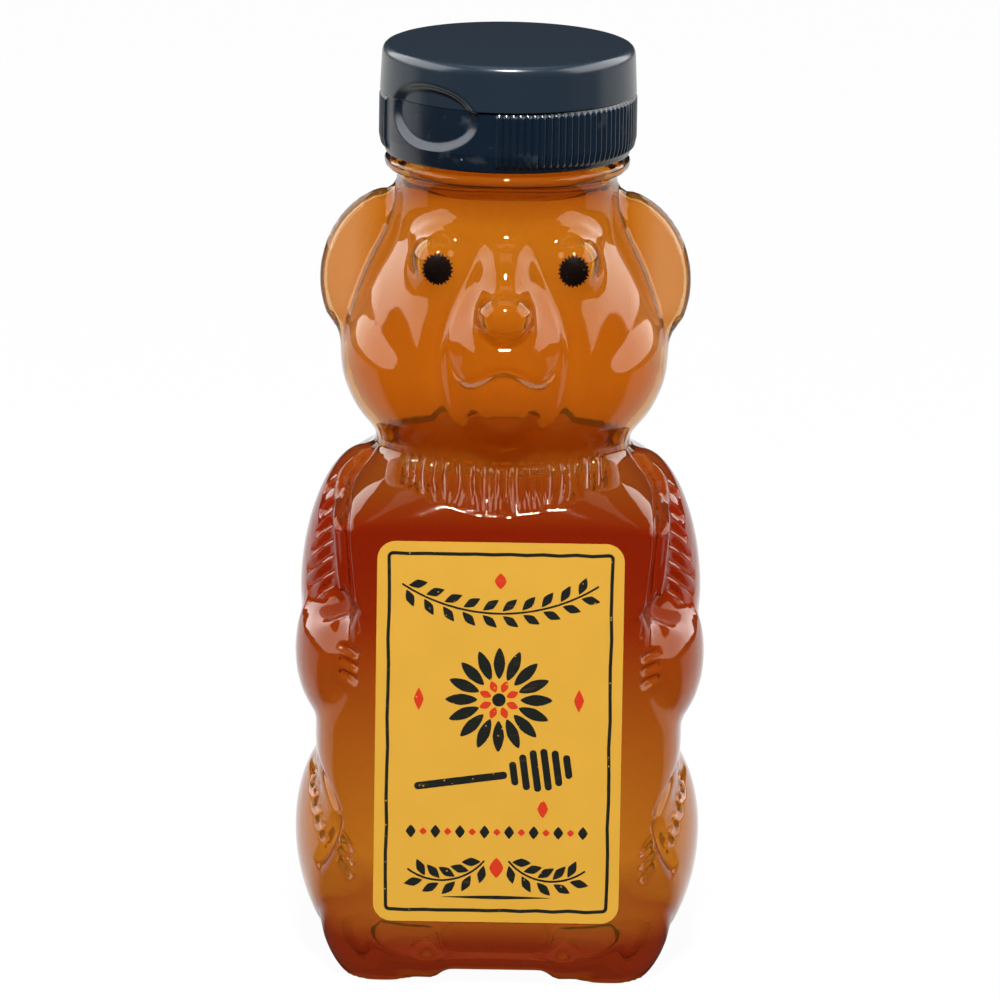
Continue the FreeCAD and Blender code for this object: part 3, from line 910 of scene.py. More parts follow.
def shape_skin(bear, settings):
    """Push-up of the base, round dished ears, flat panels in front and behind, a hollow between the feet."""
    points = read_points(bear) / MM
    points[:, 2] = np.maximum(points[:, 2], 0.0)
    radius = np.hypot(points[:, 0], points[:, 1])
    points[:, 2] += PUSH_UP_RISE * smoothstep(*PUSH_UP_SLOPE, radius) * (points[:, 2] < PUSH_UP_REACH)
    heights, widths, depths = np.array(HEAD_RINGS).T[:3]
    out_of_head = np.hypot(
        points[:, 0] / np.interp(points[:, 2], heights, widths),
        points[:, 1] / np.interp(points[:, 2], heights, depths),
    )
    for side in (-1, 1):
        offset = (points - on_side(EAR, side)) / np.array(EAR.half)
        on_ear = smoothstep(*EAR_PARTS, out_of_head) * (side * points[:, 0] > EAR.centre[0])
        on_ear *= (points[:, 2] > HEAD_RINGS[3].height) & (np.abs(offset[:, 1]) < EAR_REACH)
        true_rim = offset / np.linalg.norm(offset, axis=1)[:, None]
        points += on_ear[:, None] * (true_rim - offset) * np.array(EAR.half)
        hollow = smoothstep(*EAR_HOLLOW_RIM, np.hypot(offset[:, 0], offset[:, 2]))
        hollow *= (points[:, 1] < EAR.centre[1]) * smoothstep(*EAR_HOLLOW_SIDE, side * points[:, 0])
        points[:, 1] += settings.ear_dish / MM * hollow
    behind = points[:, 1] > 0.0
    fuller = smoothstep(TORSO_RINGS[0].height, BACK_HEEL_LOW, points[behind, 2])
    points[behind, 1] *= 1.0 + BACK_HEEL * fuller
    trunk = points[:, 2] < TORSO_RINGS[-1].height
    points[trunk, 1] = np.clip(points[trunk, 1], PANEL_FRONT, -PANEL_FRONT)
    gap = smoothstep(*FEET_GAP_ACROSS, np.abs(points[:, 0])) * smoothstep(*FEET_GAP_FRONT, points[:, 1])
    points[:, 1] += FEET_GAP_PRESS * gap * smoothstep(*FEET_GAP_PRESS_SPAN, points[:, 2])
    points[:, 2] += FEET_GAP_LIFT * gap * smoothstep(*FEET_GAP_LIFT_SPAN, points[:, 2])
    write_points(bear, points * MM)


def refine(bear, lines):
    """Divides the skin finely along the lines that are carved in it, and round the eyes and the nose."""
    mesh = bear.data
    centres = np.empty(len(mesh.polygons) * 3)
    mesh.polygons.foreach_get("center", centres)
    centres = centres.reshape(-1, 3) / MM
    chosen = np.zeros(len(centres), bool)
    for line in lines:
        chosen |= beside(centres, line, 1.2 * FINE_STROKE)[0] < FINE_STROKE
    for side in (-1, 1):
        chosen |= np.linalg.norm(centres - on_side(EYE, side), axis=1) < FINE_EYE
    chosen |= np.linalg.norm(centres - np.array(NOSE.centre), axis=1) < FINE_NOSE
    edit_chosen(bear, "FACE", chosen)
    bpy.ops.mesh.subdivide(number_cuts=2)
    bpy.ops.mesh.vertices_smooth(factor=0.5, repeat=FINE_SMOOTHING)
    leave_edit()


def curve_points(points, count):
    """Points along a smooth line through a few given ones."""
    points = np.array(points, float)
    along = np.linspace(0.0, 1.0, len(points))
    wanted = np.linspace(0.0, 1.0, count)
    if len(points) == 2:
        return np.stack([np.interp(wanted, along, points[:, axis]) for axis in (0, 1)], axis=1)
    degree = min(len(points) - 1, 4)
    fits = [np.polyfit(along, points[:, axis], degree) for axis in (0, 1)]
    return np.stack([np.polyval(fit, wanted) for fit in fits], axis=1)


def mirrored(strokes):
    """Strokes on one side and their mirror images."""
    return strokes + [Stroke([(-x, z) for x, z in s.points], s.width, s.depth) for s in strokes]


def face_strokes():
    """Mouth, nose and the creases beside the muzzle."""
    mouth = Stroke([(-9.6, 106.6), (-4.8, 101.8), (0.0, 103.8), (4.8, 101.8), (9.6, 106.6)], 0.7, 0.55)
    nose = Stroke([(-4.0, 110.8), (-2.5, 108.6), (0.0, 107.8), (2.5, 108.6), (4.0, 110.8)], 0.7, 0.55)
    lip = Stroke([(0.0, 107.0), (0.0, 104.2)], 0.6, 0.2)
    crease = Stroke([(4.6, 121.5), (8.4, 114.0), (10.7, 106.5), (10.6, 100.0), (9.2, 93.5)], 1.3, 0.8)
    brow = Stroke([(5.2, 124.2), (10.5, 125.2), (15.8, 121.8)], 1.3, -0.5)
    return [mouth, nose, lip] + mirrored([crease, brow])


def chest_fur(chance, depth):
    """A bib of short wavering strokes under the bear's neck."""
    strokes = []
    for index in range(21):
        x = -16.0 + 1.6 * index + chance.uniform(-0.3, 0.3)
        low = 79.8 + 4.2 * (abs(x) / 17.0) ** 2 + chance.uniform(-0.4, 0.4)
        sway = chance.uniform(-0.7, 0.7)
        strokes.append(Stroke([(x, 87.0), (x + sway, 84.4), (x - 0.4 * sway, low)], 0.55, 1.1 * depth))
    return strokes


def arm_fur(chance, depth):
    """Strokes down the upper arm, fingers, and the lines that set the arm off from the chest."""
    strokes = []
    for index in range(7):
        z = 80.5 - 2.5 * index
        x = 27.0 + chance.uniform(-0.2, 0.3)
        long = min(2.0 + 0.6 * index, 4.6)
        points = [(x, z), (x + 0.45 * long, z - 0.3 * long), (x + long, z - 1.05 * long)]
        strokes.append(Stroke(points, 0.6, 1.1 * depth))
    for index in range(3):
        z = 57.0 - 2.2 * index
        strokes.append(Stroke([(26.2, z), (24.6, z - 0.4), (22.9, z - 1.2)], 0.6, depth))
    edge = [(20.2, 86.4), (24.4, 82.4), (25.4, 77.5), (24.6, 67.8), (22.8, 59.4)]
    strokes.append(Stroke(edge, 0.7, 1.2 * depth))
    strokes.append(Stroke([(x + 1.3, z + 0.3) for x, z in edge], 0.7, -0.6 * depth))
    strokes.append(Stroke([(23.4, 64.4), (27.0, 62.2), (31.6, 61.4)], 2.6, 2.0 * depth))
    return strokes


def leg_fur(depth):
    """The cuff of the leg with its squiggles, and toes."""
    strokes = [
        Stroke([(30.6, 37.0), (28.4, 33.0), (25.9, 28.6)], 1.2, 1.4 * depth),
        Stroke([(25.9, 28.6), (27.2, 24.0), (29.4, 18.8)], 1.2, 1.4 * depth),
    ]
    for x, z in ((30.2, 31.2), (29.8, 28.9), (29.2, 26.8), (28.4, 24.8), (28.0, 22.6)):
        points = [(x + 0.8, z + 1.5), (x - 0.2, z + 0.5), (x + 0.3, z - 0.5), (x - 0.7, z - 1.6)]
        strokes.append(Stroke(points, 0.6, 1.1 * depth))
    for index in range(3):
        z = 25.6 - 2.1 * index
        strokes.append(Stroke([(25.6, z), (24.8, z - 1.2), (23.6, z - 3.0)], 0.65, 1.1 * depth))
    return strokes


def fur_strokes(depth, seed=7):
    """Fur on the chest, and on both sides the strokes of arms and legs."""
    chance = random.Random(seed)
    chest = chest_fur(chance, depth)
    return chest + mirrored(arm_fur(chance, depth) + leg_fur(depth))


def stroke_lines(bear, strokes):
    """Drops each stroke on the front of the skin: its points in millimetres."""
    tree = BVHTree.FromObject(bear, bpy.context.evaluated_depsgraph_get())
    lines = []
    for stroke in strokes:
        line = []
        for x, z in curve_points(stroke.points, STROKE_STEPS):
            hit = tree.ray_cast(Vector((x, RAY_START, z)) * MM, RAY_WAY)[0]
            if hit is not None:
                line.append(np.array(hit) / MM)
        if len(line) < 2:
            raise RuntimeError(f"A stroke misses the bear: {stroke.points}")
        lines.append(np.array(line))
    return lines


def beside(points, line, reach):
    """Each point's distance from a line, and how far along it the point lies, from 0 to 1."""
    distance = np.full(len(points), np.inf)
    along = np.zeros(len(points))
    near = np.all((points > line.min(axis=0) - reach) & (points < line.max(axis=0) + reach), axis=1)
    where = np.flatnonzero(near)
    for index, (start, end) in enumerate(zip(line, line[1:])):
        run = end - start
        share = np.clip((points[where] - start) @ run / max(run @ run, 1e-9), 0.0, 1.0)
        gap = np.linalg.norm(points[where] - start - share[:, None] * run, axis=1)
        closer = gap < distance[where]
        distance[where[closer]] = gap[closer]
        along[where[closer]] = (index + share[closer]) / (len(line) - 1)
    return distance, along


def carve(bear, strokes, lines):
    """Presses the strokes into the skin along their lines, fading out at their ends."""
    points = read_points(bear) / MM
    depth = np.zeros(len(points))
    for stroke, line in zip(strokes, lines):
        distance, along = beside(points, line, STROKE_REACH * stroke.width)
        fade = np.sqrt(np.clip(4.0 * along * (1.0 - along), 0.0, 1.0))
        cut = stroke.depth * fade * np.exp(-((distance / stroke.width) ** 2))
        depth = np.where(np.abs(cut) > np.abs(depth), cut, depth)
    write_points(bear, (points - read_normals(bear) * depth[:, None]) * MM)


def dome(points, mass, blend):
    """Brings the skin out to an ellipsoid's front, where it lies behind it, and blends the two."""
    offset = (points - np.array(mass.centre)) / np.array(mass.half)
    inside = 1.0 - offset[:, 0] ** 2 - offset[:, 2] ** 2
    front = mass.centre[1] - mass.half[1] * np.sqrt(np.clip(inside, 0.0, 1.0))
    proud = (inside > DOME_RIM) & (points[:, 1] < mass.centre[1] + DOME_BEHIND)
    skin, front = points[proud, 1], front[proud]
    share = np.clip(0.5 + 0.5 * (front - skin) / blend, 0.0, 1.0)
    points[proud, 1] = front + (skin - front) * share - blend * share * (1.0 - share)


def raise_domes(bear):
    """Brings out the round eyes and the nose, which the merging has softened."""
    points = read_points(bear) / MM
    for side in (-1, 1):
        dome(points, Mass(tuple(on_side(EYE, side)), EYE.half), EYE_BLEND)
    dome(points, NOSE, NOSE_BLEND)
    write_points(bear, points * MM)


def cut_level(obj, level, keep_above):
    """Cuts a mesh at a height, keeps one side and closes the cut."""
    edit_all(obj)
    bpy.ops.mesh.bisect(
        plane_co=(0.0, 0.0, level),
        plane_no=(0.0, 0.0, 1.0),
        clear_inner=keep_above,
        clear_outer=not keep_above,
        use_fill=True,
    )
    leave_edit()


def offset_copy(skin, inset):
    """A copy of a skin, moved inwards."""
    copy = duplicate(skin)
    write_points(copy, read_points(copy) - read_normals(copy) * inset)
    return copy


def set_radius(points, radius, wanted):
    """Moves points from one distance from the axis to another."""
    points[:, :2] *= (wanted / np.maximum(radius, 1e-6))[:, None]


def add_thread(root, crest, turns, begin):
    """A screw ridge of the given turns, its section swept up a helix and faded out at both ends."""
    ridge = new_circle(4, "NOTHING")
    wide, narrow = THREAD_WIDTHS
    section = [(root, -wide / 2), (crest, -narrow / 2), (crest, narrow / 2), (root, wide / 2)]
    write_points(ridge, np.array([(radius, 0.0, THREAD_HEIGHT + rise) for radius, rise in section]) * MM)
    sweep = ridge.modifiers.new("Sweep", "SCREW")
    sweep.axis = "Z"
    sweep.angle = 2 * math.pi * turns
    sweep.screw_offset = THREAD_PITCH * turns * MM
    sweep.steps = int(THREAD_STEPS * turns)
    sweep.render_steps = sweep.steps
    apply_modifier(ridge, sweep)
    points = read_points(ridge) / MM
    run = np.repeat(np.linspace(0.0, 1.0, len(points) // len(section)), len(section))
    radius = np.hypot(points[:, 0], points[:, 1])
    fade = smoothstep(0.0, THREAD_FADE, run) * smoothstep(1.0, 1.0 - THREAD_FADE, run)
    set_radius(points, radius, root + (radius - root) * fade)
    write_points(ridge, points * MM)
    ridge.rotation_euler = Euler((0.0, 0.0, begin))
    apply_place(ridge)
    face_outwards(ridge, close=True)
    return ridge


def select_rim(obj):
    """Enters edit mode with the open edges selected."""
    edit_none(obj, "EDGE")
    bpy.ops.mesh.select_non_manifold(
        extend=False, use_wire=False, use_multi_face=False, use_non_contiguous=False
    )


def raise_neck(bear):
    """Extrudes the cut edge of the skin up the neck, over the bead and the rim and down the bore."""
    select_rim(bear)
    radius, height = HEAD_RINGS[-1].half_width, NECK_CUT
    for new_radius, new_height in NECK_OUTSIDE:
        rise = (0.0, 0.0, (new_height - height) * MM)
        bpy.ops.mesh.extrude_edges_move(TRANSFORM_OT_translate={"value": rise})
        scale = new_radius / radius
        bpy.ops.transform.resize(value=(scale, scale, 1.0), center_override=(0.0, 0.0, 0.0))
        radius, height = new_radius, new_height
    leave_edit()


def smooth_shaded(obj, angle):
    """Smooth shading up to an angle in degrees."""
    select_only(obj)
    bpy.ops.object.shade_smooth_by_angle(angle=math.radians(angle))


def rounded_section(section):
    """A closed section with its corners rounded and its long runs divided."""
    points = [np.array(point[:2]) for point in section]
    outline = []
    for index, (_, _, rounding) in enumerate(section):
        here = points[index]
        if rounding == 0.0:
            outline.append(here)
            continue
        back = points[index - 1] - here
        ahead = points[(index + 1) % len(points)] - here
        back /= np.linalg.norm(back)
        ahead /= np.linalg.norm(ahead)
        half = math.acos(np.clip(back @ ahead, -1.0, 1.0)) / 2
        reach = rounding / math.tan(half)
        for share in np.linspace(0.0, 1.0, CORNER_POINTS):
            start, end = here + back * reach, here + ahead * reach
            outline.append((1 - share) ** 2 * start + 2 * share * (1 - share) * here + share**2 * end)
    divided = []
    for start, end in zip(outline, outline[1:] + outline[:1]):
        count = 1
        if min(start[0], end[0]) > CAP_OUTSIDE:
            count = max(1, int(np.linalg.norm(end - start) / CAP_STEP))
        divided += [start + (end - start) * share for share in np.linspace(0.0, 1.0, count, endpoint=False)]
    return np.array(divided)


def lathe(section, steps, *presses):
    """Turns a section round the bottle's axis, and presses shapes into it."""
    section = rounded_section(section)
    turned = new_circle(len(section), "NOTHING")
    write_points(turned, np.stack([section[:, 0], np.zeros(len(section)), section[:, 1]], axis=1) * MM)
    sweep = turned.modifiers.new("Turn", "SCREW")
    sweep.steps = steps
    sweep.render_steps = steps
    sweep.use_merge_vertices = True
    sweep.merge_threshold = MERGE_GAP * MM
    apply_modifier(turned, sweep)
    edit_all(turned)
    bpy.ops.mesh.remove_doubles(threshold=MERGE_GAP * MM)
    bpy.ops.mesh.delete_loose()
    leave_edit()
    face_outwards(turned)
    if presses:
        points = read_points(turned) / MM
        for press in presses:
            press(points)
        write_points(turned, points * MM)
    return turned


def from_thumb(points):
    """Each point's distance from the axis, and its turn from the middle of the thumb notch."""
    radius = np.hypot(points[:, 0], points[:, 1])
    turn = np.arctan2(points[:, 1], points[:, 0]) - THUMB_ANGLE
    return radius, (turn + math.pi) % (2 * math.pi) - math.pi


def press_thumb(points):
    """Presses the oval thumb notch and the hinge's flat into the outside of the cap."""
    radius, turn = from_thumb(points)
    across = radius * turn / POCKET_HALF[0]
    up = (points[:, 2] - POCKET_HEIGHT) / POCKET_HALF[1]
    share = smoothstep(*POCKET_WALL, np.hypot(across, up)) * (radius > POCKET_FLOOR)
    set_radius(points, radius, radius + (POCKET_FLOOR - radius) * share)
    out = np.array(HINGE_OUT)
    past = np.maximum(points @ out - HINGE_FLAT, 0.0)
    points -= past[:, None] * out


def press_ribs(points):
    """Raises the grip ribs round the cap, except where the thumb goes."""
    radius, turn = from_thumb(points)
    wave = 0.5 - 0.5 * np.cos(turn * RIB_COUNT)
    span = smoothstep(*RIB_FOOT, points[:, 2]) * smoothstep(*RIB_TOP, points[:, 2])
    edge = math.radians(THUMB_HALF_SPAN)
    zone = smoothstep(edge - THUMB_EDGE, edge + THUMB_EDGE, np.abs(turn)) * (radius > RIB_INSIDE)
    rib = RIB_GROOVE + (1.0 - RIB_GROOVE) * np.sqrt(wave)
    set_radius(points, radius, radius + RIB_HEIGHT * rib * span * zone)


class HONEYBEAR_OT_bottle(bpy.types.Operator):
    """Blocks out, merges and carves the bear, hollows its head and raises its neck"""

    bl_idname = "honeybear.bottle"
    bl_label = "Bear bottle"

    def execute(self, context):
        settings = context.scene.honeybear_skin
        fill_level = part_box("honey")[1][2]
        bear = block_out(settings)
        shape_skin(bear, settings)
        raise_domes(bear)
        honey = offset_copy(bear, INNER_SIDE * settings.wall)
        honey.name = "honey_blank"
        # Plastic and honey bend light alike, so the wall's inner side is needed only above the fill line
        hollow = offset_copy(bear, INNER_SIDE * settings.wall)
        edit_chosen(hollow, "VERT", np.abs(read_points(hollow)[:, 0]) > EAR.centre[0] * MM)
        bpy.ops.mesh.vertices_smooth(factor=0.5, repeat=settings.head_smoothing)
        leave_edit()
        cut_level(hollow, fill_level, keep_above=True)
        edit_all(hollow)
        bpy.ops.mesh.flip_normals()
        leave_edit()
        strokes = face_strokes() + fur_strokes(settings.fur_depth / MM)
        lines = stroke_lines(bear, strokes)
        refine(bear, lines)
        raise_domes(bear)
        carve(bear, strokes, lines)
        raise_neck(bear)
        bear = joined([bear, hollow])
        select_rim(bear)
        bpy.ops.mesh.bridge_edge_loops()
        leave_edit()
        bear = joined([bear, add_thread(*BOTTLE_THREAD)])
        smooth_shaded(bear, SKIN_ANGLE)
        plastic = bottle_material(settings, fill_level)
        tie(bear, "bear_skin", "bottle", plastic, ["bear_bottle"])
        return {"FINISHED"}


class HONEYBEAR_OT_honey(bpy.types.Operator):
    """Cuts the honey's blank at the fill line"""

    bl_idname = "honeybear.honey"
    bl_label = "Honey"

    def execute(self, context):
        settings = context.scene.honeybear_honey
        honey = bpy.data.objects["honey_blank"]
        cut_level(honey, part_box("honey")[1][2] - settings.skin, keep_above=False)
        smooth_shaded(honey, HONEY_ANGLE)
        tie(honey, "honey_fill", "bottle", honey_material(settings), ["honey"])
        return {"FINISHED"}


class HONEYBEAR_OT_pupils(bpy.types.Operator):
    """Prints a ragged dark dot on each eye"""

    bl_idname = "honeybear.pupils"
    bl_label = "Pupils"

    def execute(self, context):
        skin = bpy.data.objects["bear_skin"]
        tree = BVHTree.FromObject(skin, context.evaluated_depsgraph_get())
        ink = ink_material("eye_ink", EYE_INK, EYE_WORN, 0.1)
        for side, node in ((1, "right_pupil"), (-1, "left_pupil")):
            low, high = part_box(node)
            centre = (Vector(low) + Vector(high)) / 2
            radius = (high[0] - low[0]) / 2
            dot = new_circle(PUPIL_STEPS, "TRIFAN", radius)
            edit_all(dot)
            bpy.ops.mesh.subdivide(number_cuts=PUPIL_CUTS)
            leave_edit()
            points = read_points(dot)
            turn = np.arctan2(points[:, 1], points[:, 0])
            reach = np.hypot(points[:, 0], points[:, 1]) / radius
            waves = sum(rise * np.sin(count * turn + shift * side) for rise, count, shift in PUPIL_WAVES)
            points *= (1.0 + (waves - PUPIL_SHRINK) * smoothstep(*PUPIL_EDGE, reach))[:, None]
            for point in points:
                x = centre.x + point[0]
                z = centre.z - PUPIL_DROP * MM + PUPIL_TALL * point[1]
                hit = tree.ray_cast(Vector((x, RAY_START * MM, z)), RAY_WAY)[0]
                point[:] = (x, hit.y - PUPIL_LIFT * MM, z)
            write_points(dot, points)
            face_outwards(dot)
            film = dot.modifiers.new("Film", "SOLIDIFY")
            film.thickness = PUPIL_INK * MM
            film.offset = 0.0
            apply_modifier(dot, film)
            smooth_shaded(dot, SMALL_ANGLE)
            tie(dot, node + "_print", "bottle", ink, [node])
        return {"FINISHED"}


def rounded_sheet(half_width, half_height, corner):
    """A flat rounded rectangle in the front view's plane, at the origin."""
    bpy.ops.object.select_all(action="DESELECT")
    bpy.ops.mesh.primitive_plane_add(size=2.0)
    sheet = bpy.context.object
    sheet.scale = (half_width, half_height, 1.0)
    apply_place(sheet)
    edit_all(sheet)
    bpy.ops.mesh.bevel(offset=corner, segments=CORNER_CUTS, affect="VERTICES")
    leave_edit()
    return sheet


def lay_ink(ink, across, up, turn):
    """Turns a flat piece of ink by degrees and moves it to its place on the label."""
    ink.rotation_euler = Euler((0.0, 0.0, math.radians(turn)))
    ink.location = (across * MM, up * MM, 0.0)
    apply_place(ink)
    return ink


def ink_spot(across, up, half_width, half_height, turn=0.0, pinch=0.0):
    """A round spot of ink, in millimetres on the label. Pinch draws its ends to points."""
    spot = new_circle(SPOT_STEPS, "NGON")
    points = read_points(spot)
    points[:, 0] *= (1.0 - np.abs(points[:, 1])) ** pinch if pinch else 1.0
    points[:, 0] *= half_width * MM
    points[:, 1] *= half_height * MM
    write_points(spot, points)
    return lay_ink(spot, across, up, turn)


def ink_bar(across, up, half_width, half_height, turn=0.0):
    """A bar of ink with rounded ends, in millimetres on the label."""
    corner = BAR_ROUND * min(half_width, half_height)
    bar = rounded_sheet(half_width * MM, half_height * MM, corner * MM)
    return lay_ink(bar, across, up, turn)


def border_line(half_width, half_height, settings):
    """The label's border: a rounded frame with a slightly hand-cut edge."""
    inset = settings.margin
    line = rounded_sheet(half_width - inset, half_height - inset, BORDER_CORNER * settings.corner)
    edit_all(line)
    bpy.ops.mesh.subdivide(number_cuts=BORDER_CUTS)
    bpy.ops.mesh.select_all(action="SELECT")
    bpy.ops.mesh.inset(thickness=settings.line)
    bpy.ops.mesh.delete(type="FACE")
    leave_edit()
    points = read_points(line)
    wobble = BORDER_WOBBLE * MM
    points[:, 0] += wobble * np.sin(points[:, 1] / MM * BORDER_WAVES[0]) * np.sign(points[:, 0])
    points[:, 1] += wobble * np.sin(points[:, 0] / MM * BORDER_WAVES[1] + 1.0)
    write_points(line, points)
    return line


def on_circle(centre, radius, angle):
    """The point of a circle at an angle in degrees."""
    turn = math.radians(angle)
    return centre[0] + radius * math.cos(turn), centre[1] + radius * math.sin(turn)


def garland(centre, radius, first, last, pairs):
    """A stem bent on an arc with pairs of leaves, given by its centre, radius and angles."""
    spots = []
    runs = pairs * 3
    half_run = STEM_OVERLAP * abs(last - first) / runs * math.radians(radius)
    for index in range(runs + 1):
        angle = first + (last - first) * index / runs
        spots.append(ink_bar(*on_circle(centre, radius, angle), half_run, STEM_HALF, angle + 90))
    lean = LEAF_LEAN if last > first else -LEAF_LEAN
    for index in range(pairs):
        angle = first + (last - first) * (index + 0.5) / pairs
        for side in (-1, 1):
            place = on_circle(centre, radius + side * LEAF_OFF, angle)
            spots.append(ink_spot(*place, *LEAF_HALF, angle - lean * side, LEAF_PINCH))
    return spots


def front_motif():
    """Dark and red spots of a plain honey label: a garland, a flower, a dipper and sprigs."""
    dark = garland((0.0, 49.0), 29.0, 238.0, 302.0, 10)
    red = [ink_spot(side * 13.0, FLOWER[1], 0.8, 1.9, 0, 0.5) for side in (-1, 1)]
    red.append(ink_spot(0.0, 25.4, 0.95, 1.3, 0, 0.3))
    for index in range(PETALS):
        angle = 360 / PETALS * index
        dark.append(ink_spot(*on_circle(FLOWER, PETAL_RING, angle), 0.95, 2.6, angle - 90, 0.2))
    for index in range(SEEDS):
        angle = 360 / SEEDS * (index + 0.5)
        red.append(ink_spot(*on_circle(FLOWER, SEED_RING, angle), 0.62, 1.0, angle - 90, 0.25))
    dark.append(ink_spot(*FLOWER, 1.1, 1.1))
    dark.append(ink_bar(-6.0, -8.0, 7.6, 0.62, DIPPER_TURN))
    for index, half in enumerate(DIPPER_DISCS):
        dark.append(ink_bar(2.6 + 1.75 * index, -6.7 + 0.245 * index, 0.58, half, DIPPER_TURN))
    red.append(ink_spot(7.4, -12.6, 0.85, 1.5, 0, 0.35))
    for index in range(BEADS):
        ink, half = (red, (0.6, 0.6)) if index % 2 else (dark, (0.8, 1.1))
        ink.append(ink_spot(-14.0 + 2.0 * index, -16.6, *half, 0, 0.5))
    for side in (-1, 1):
        dark += garland((side * 9.0, -15.8), 9.0, 270.0 - side * 48.0, 270.0 + side * 34.0, 5)
    red.append(ink_spot(0.0, -22.6, 1.15, 1.7, 0, 0.4))
    dark.append(ink_spot(0.0, -27.6, 0.3, 9.0, 90, 0.4))
    return dark, red


def stand_up(obj, place, thickness):
    """Stands a flat piece upright at a place, facing the front, and gives it its thickness."""
    points = read_points(obj)
    x, y, z = place
    write_points(obj, np.stack([x + points[:, 0], np.full(len(points), y), z + points[:, 1]], axis=1))
    edit_all(obj)
    bpy.ops.mesh.extrude_region_move(TRANSFORM_OT_translate={"value": (0.0, -thickness, 0.0)})
    leave_edit()
    face_outwards(obj)


class HONEYBEAR_OT_label(bpy.types.Operator):
    """Cuts the label and prints it with a border and a plain motif"""

    bl_idname = "honeybear.label"
    bl_label = "Label"

    def execute(self, context):
        settings = context.scene.honeybear_label
        low, high = (np.array(corner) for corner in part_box("front_label"))
        half_width, _, half_height = (high - low) / 2
        middle = (low + high) / 2
        thickness = high[1] - low[1]
        sheet = rounded_sheet(half_width, half_height, settings.corner)
        stand_up(sheet, (middle[0], high[1], middle[2]), thickness)
        smooth_shaded(sheet, PAPER_ANGLE)
        tie(sheet, "label_paper_sheet", "bottle", paper_material(settings), ["front_label"])
        dark, red = front_motif()
        dark.append(border_line(half_width, half_height, settings))
        dark_ink = ink_material("dark_ink", settings.dark_ink, tuple(0.6 * c for c in settings.paper), 0.3)
        red_ink = ink_material("red_ink", settings.red_ink, settings.paper, 0.3)
        for spots, ink, name in ((dark, dark_ink, "label_dark_print"), (red, red_ink, "label_red_print")):
            printed = joined(spots)
            stand_up(printed, (middle[0], low[1], middle[2]), settings.ink)
            tie(printed, name, "bottle", ink)
        return {"FINISHED"}


class HONEYBEAR_OT_cap(bpy.types.Operator):
    """Turns the cap's base, with its ribs, thumb notch, spout and thread"""

    bl_idname = "honeybear.cap"
    bl_label = "Cap base"

    def execute(self, context):
        settings = context.scene.honeybear_cap
        cap = lathe(CAP_SECTION, RIB_COUNT * settings.turns, press_ribs, press_thumb)
        cap = joined([cap, add_thread(*CAP_THREAD)])
        smooth_shaded(cap, CAP_ANGLE)
        tie(cap, "cap_base_shell", "cap", cap_material(settings), ["cap_base"])
        return {"FINISHED"}


class HONEYBEAR_OT_lid(bpy.types.Operator):
    """Turns the lid, with its plug and its half of the thumb notch"""

    bl_idname = "honeybear.lid"
    bl_label = "Flip lid"

    def execute(self, context):
        lid = lathe(LID_SECTION, LID_STEPS, press_thumb)
        smooth_shaded(lid, CAP_ANGLE)
        tie(lid, "flip_lid_shell", "lid", bpy.data.materials["cap_plastic"], ["flip_lid"])
        return {"FINISHED"}


class HONEYBEAR_OT_hinge(bpy.types.Operator):
    """Makes the thin strap that bends between base and lid"""

    bl_idname = "honeybear.hinge"
    bl_label = "Living hinge"

    def execute(self, context):
        low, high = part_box("living_hinge")
        height = high[2] - low[2]
        width = (high[0] - low[0]) * abs(HINGE_AXIS.x) + (high[1] - low[1]) * abs(HINGE_AXIS.y)
        thickness = STRAP_THICK * MM
        bpy.ops.object.select_all(action="DESELECT")
        bpy.ops.mesh.primitive_cube_add(size=1.0)
        strap = bpy.context.object
        strap.scale = (thickness, width, height)
        apply_place(strap)
        edit_all(strap)
        bpy.ops.mesh.bevel(offset=STRAP_EDGE * MM, segments=2)
        for step in range(-STRAP_CUTS, STRAP_CUTS + 1):
            level = (0.0, 0.0, step * STRAP_CUT * MM)
            bpy.ops.mesh.select_all(action="SELECT")
            bpy.ops.mesh.bisect(plane_co=level, plane_no=(0.0, 0.0, 1.0))
        leave_edit()
        points = read_points(strap)
        thin = np.exp(-((points[:, 2] / (STRAP_NECK_WIDTH * MM)) ** 2))
        points[:, 0] -= STRAP_NECK * MM * thin * (points[:, 0] > 0.0)
        write_points(strap, points)
        strap.rotation_euler = Euler((0.0, 0.0, math.atan2(HINGE_OUT.y, HINGE_OUT.x)))
        strap.location = HINGE_POINT - HINGE_OUT * thickness / 2
        apply_place(strap)
        smooth_shaded(strap, SMALL_ANGLE)
        tie(strap, "hinge_strap", None, bpy.data.materials["cap_plastic"], ["living_hinge"])
        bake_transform(strap)
        return {"FINISHED"}


class HONEYBEAR_OT_seal(bpy.types.Operator):
    """Cuts the foam disc that closes the mouth"""

    bl_idname = "honeybear.seal"
    bl_label = "Foam seal"

    def execute(self, context):
        low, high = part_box("seal_disc")
        radius, bottom, top = high[0] / MM, low[2] / MM, high[2] / MM
        section = (
            (0.0, bottom, 0.0),
            (radius, bottom, SEAL_ROUNDING),
            (radius, top, SEAL_ROUNDING),
            (0.0, top, 0.0),
        )
        disc = lathe(section, SEAL_STEPS)
        smooth_shaded(disc, SMALL_ANGLE)
        tie(disc, "seal_foam_disc", "seal", foam_material(), ["seal_disc"])
        return {"FINISHED"}


def seen_mask(tree):
    """The tree's light path, and a mask of what is seen straight or through the bottle."""
    path = tree.nodes.new("ShaderNodeLightPath").outputs
    return path, combine(tree, "MAXIMUM", path["Is Camera Ray"], path["Is Transmission Ray"])


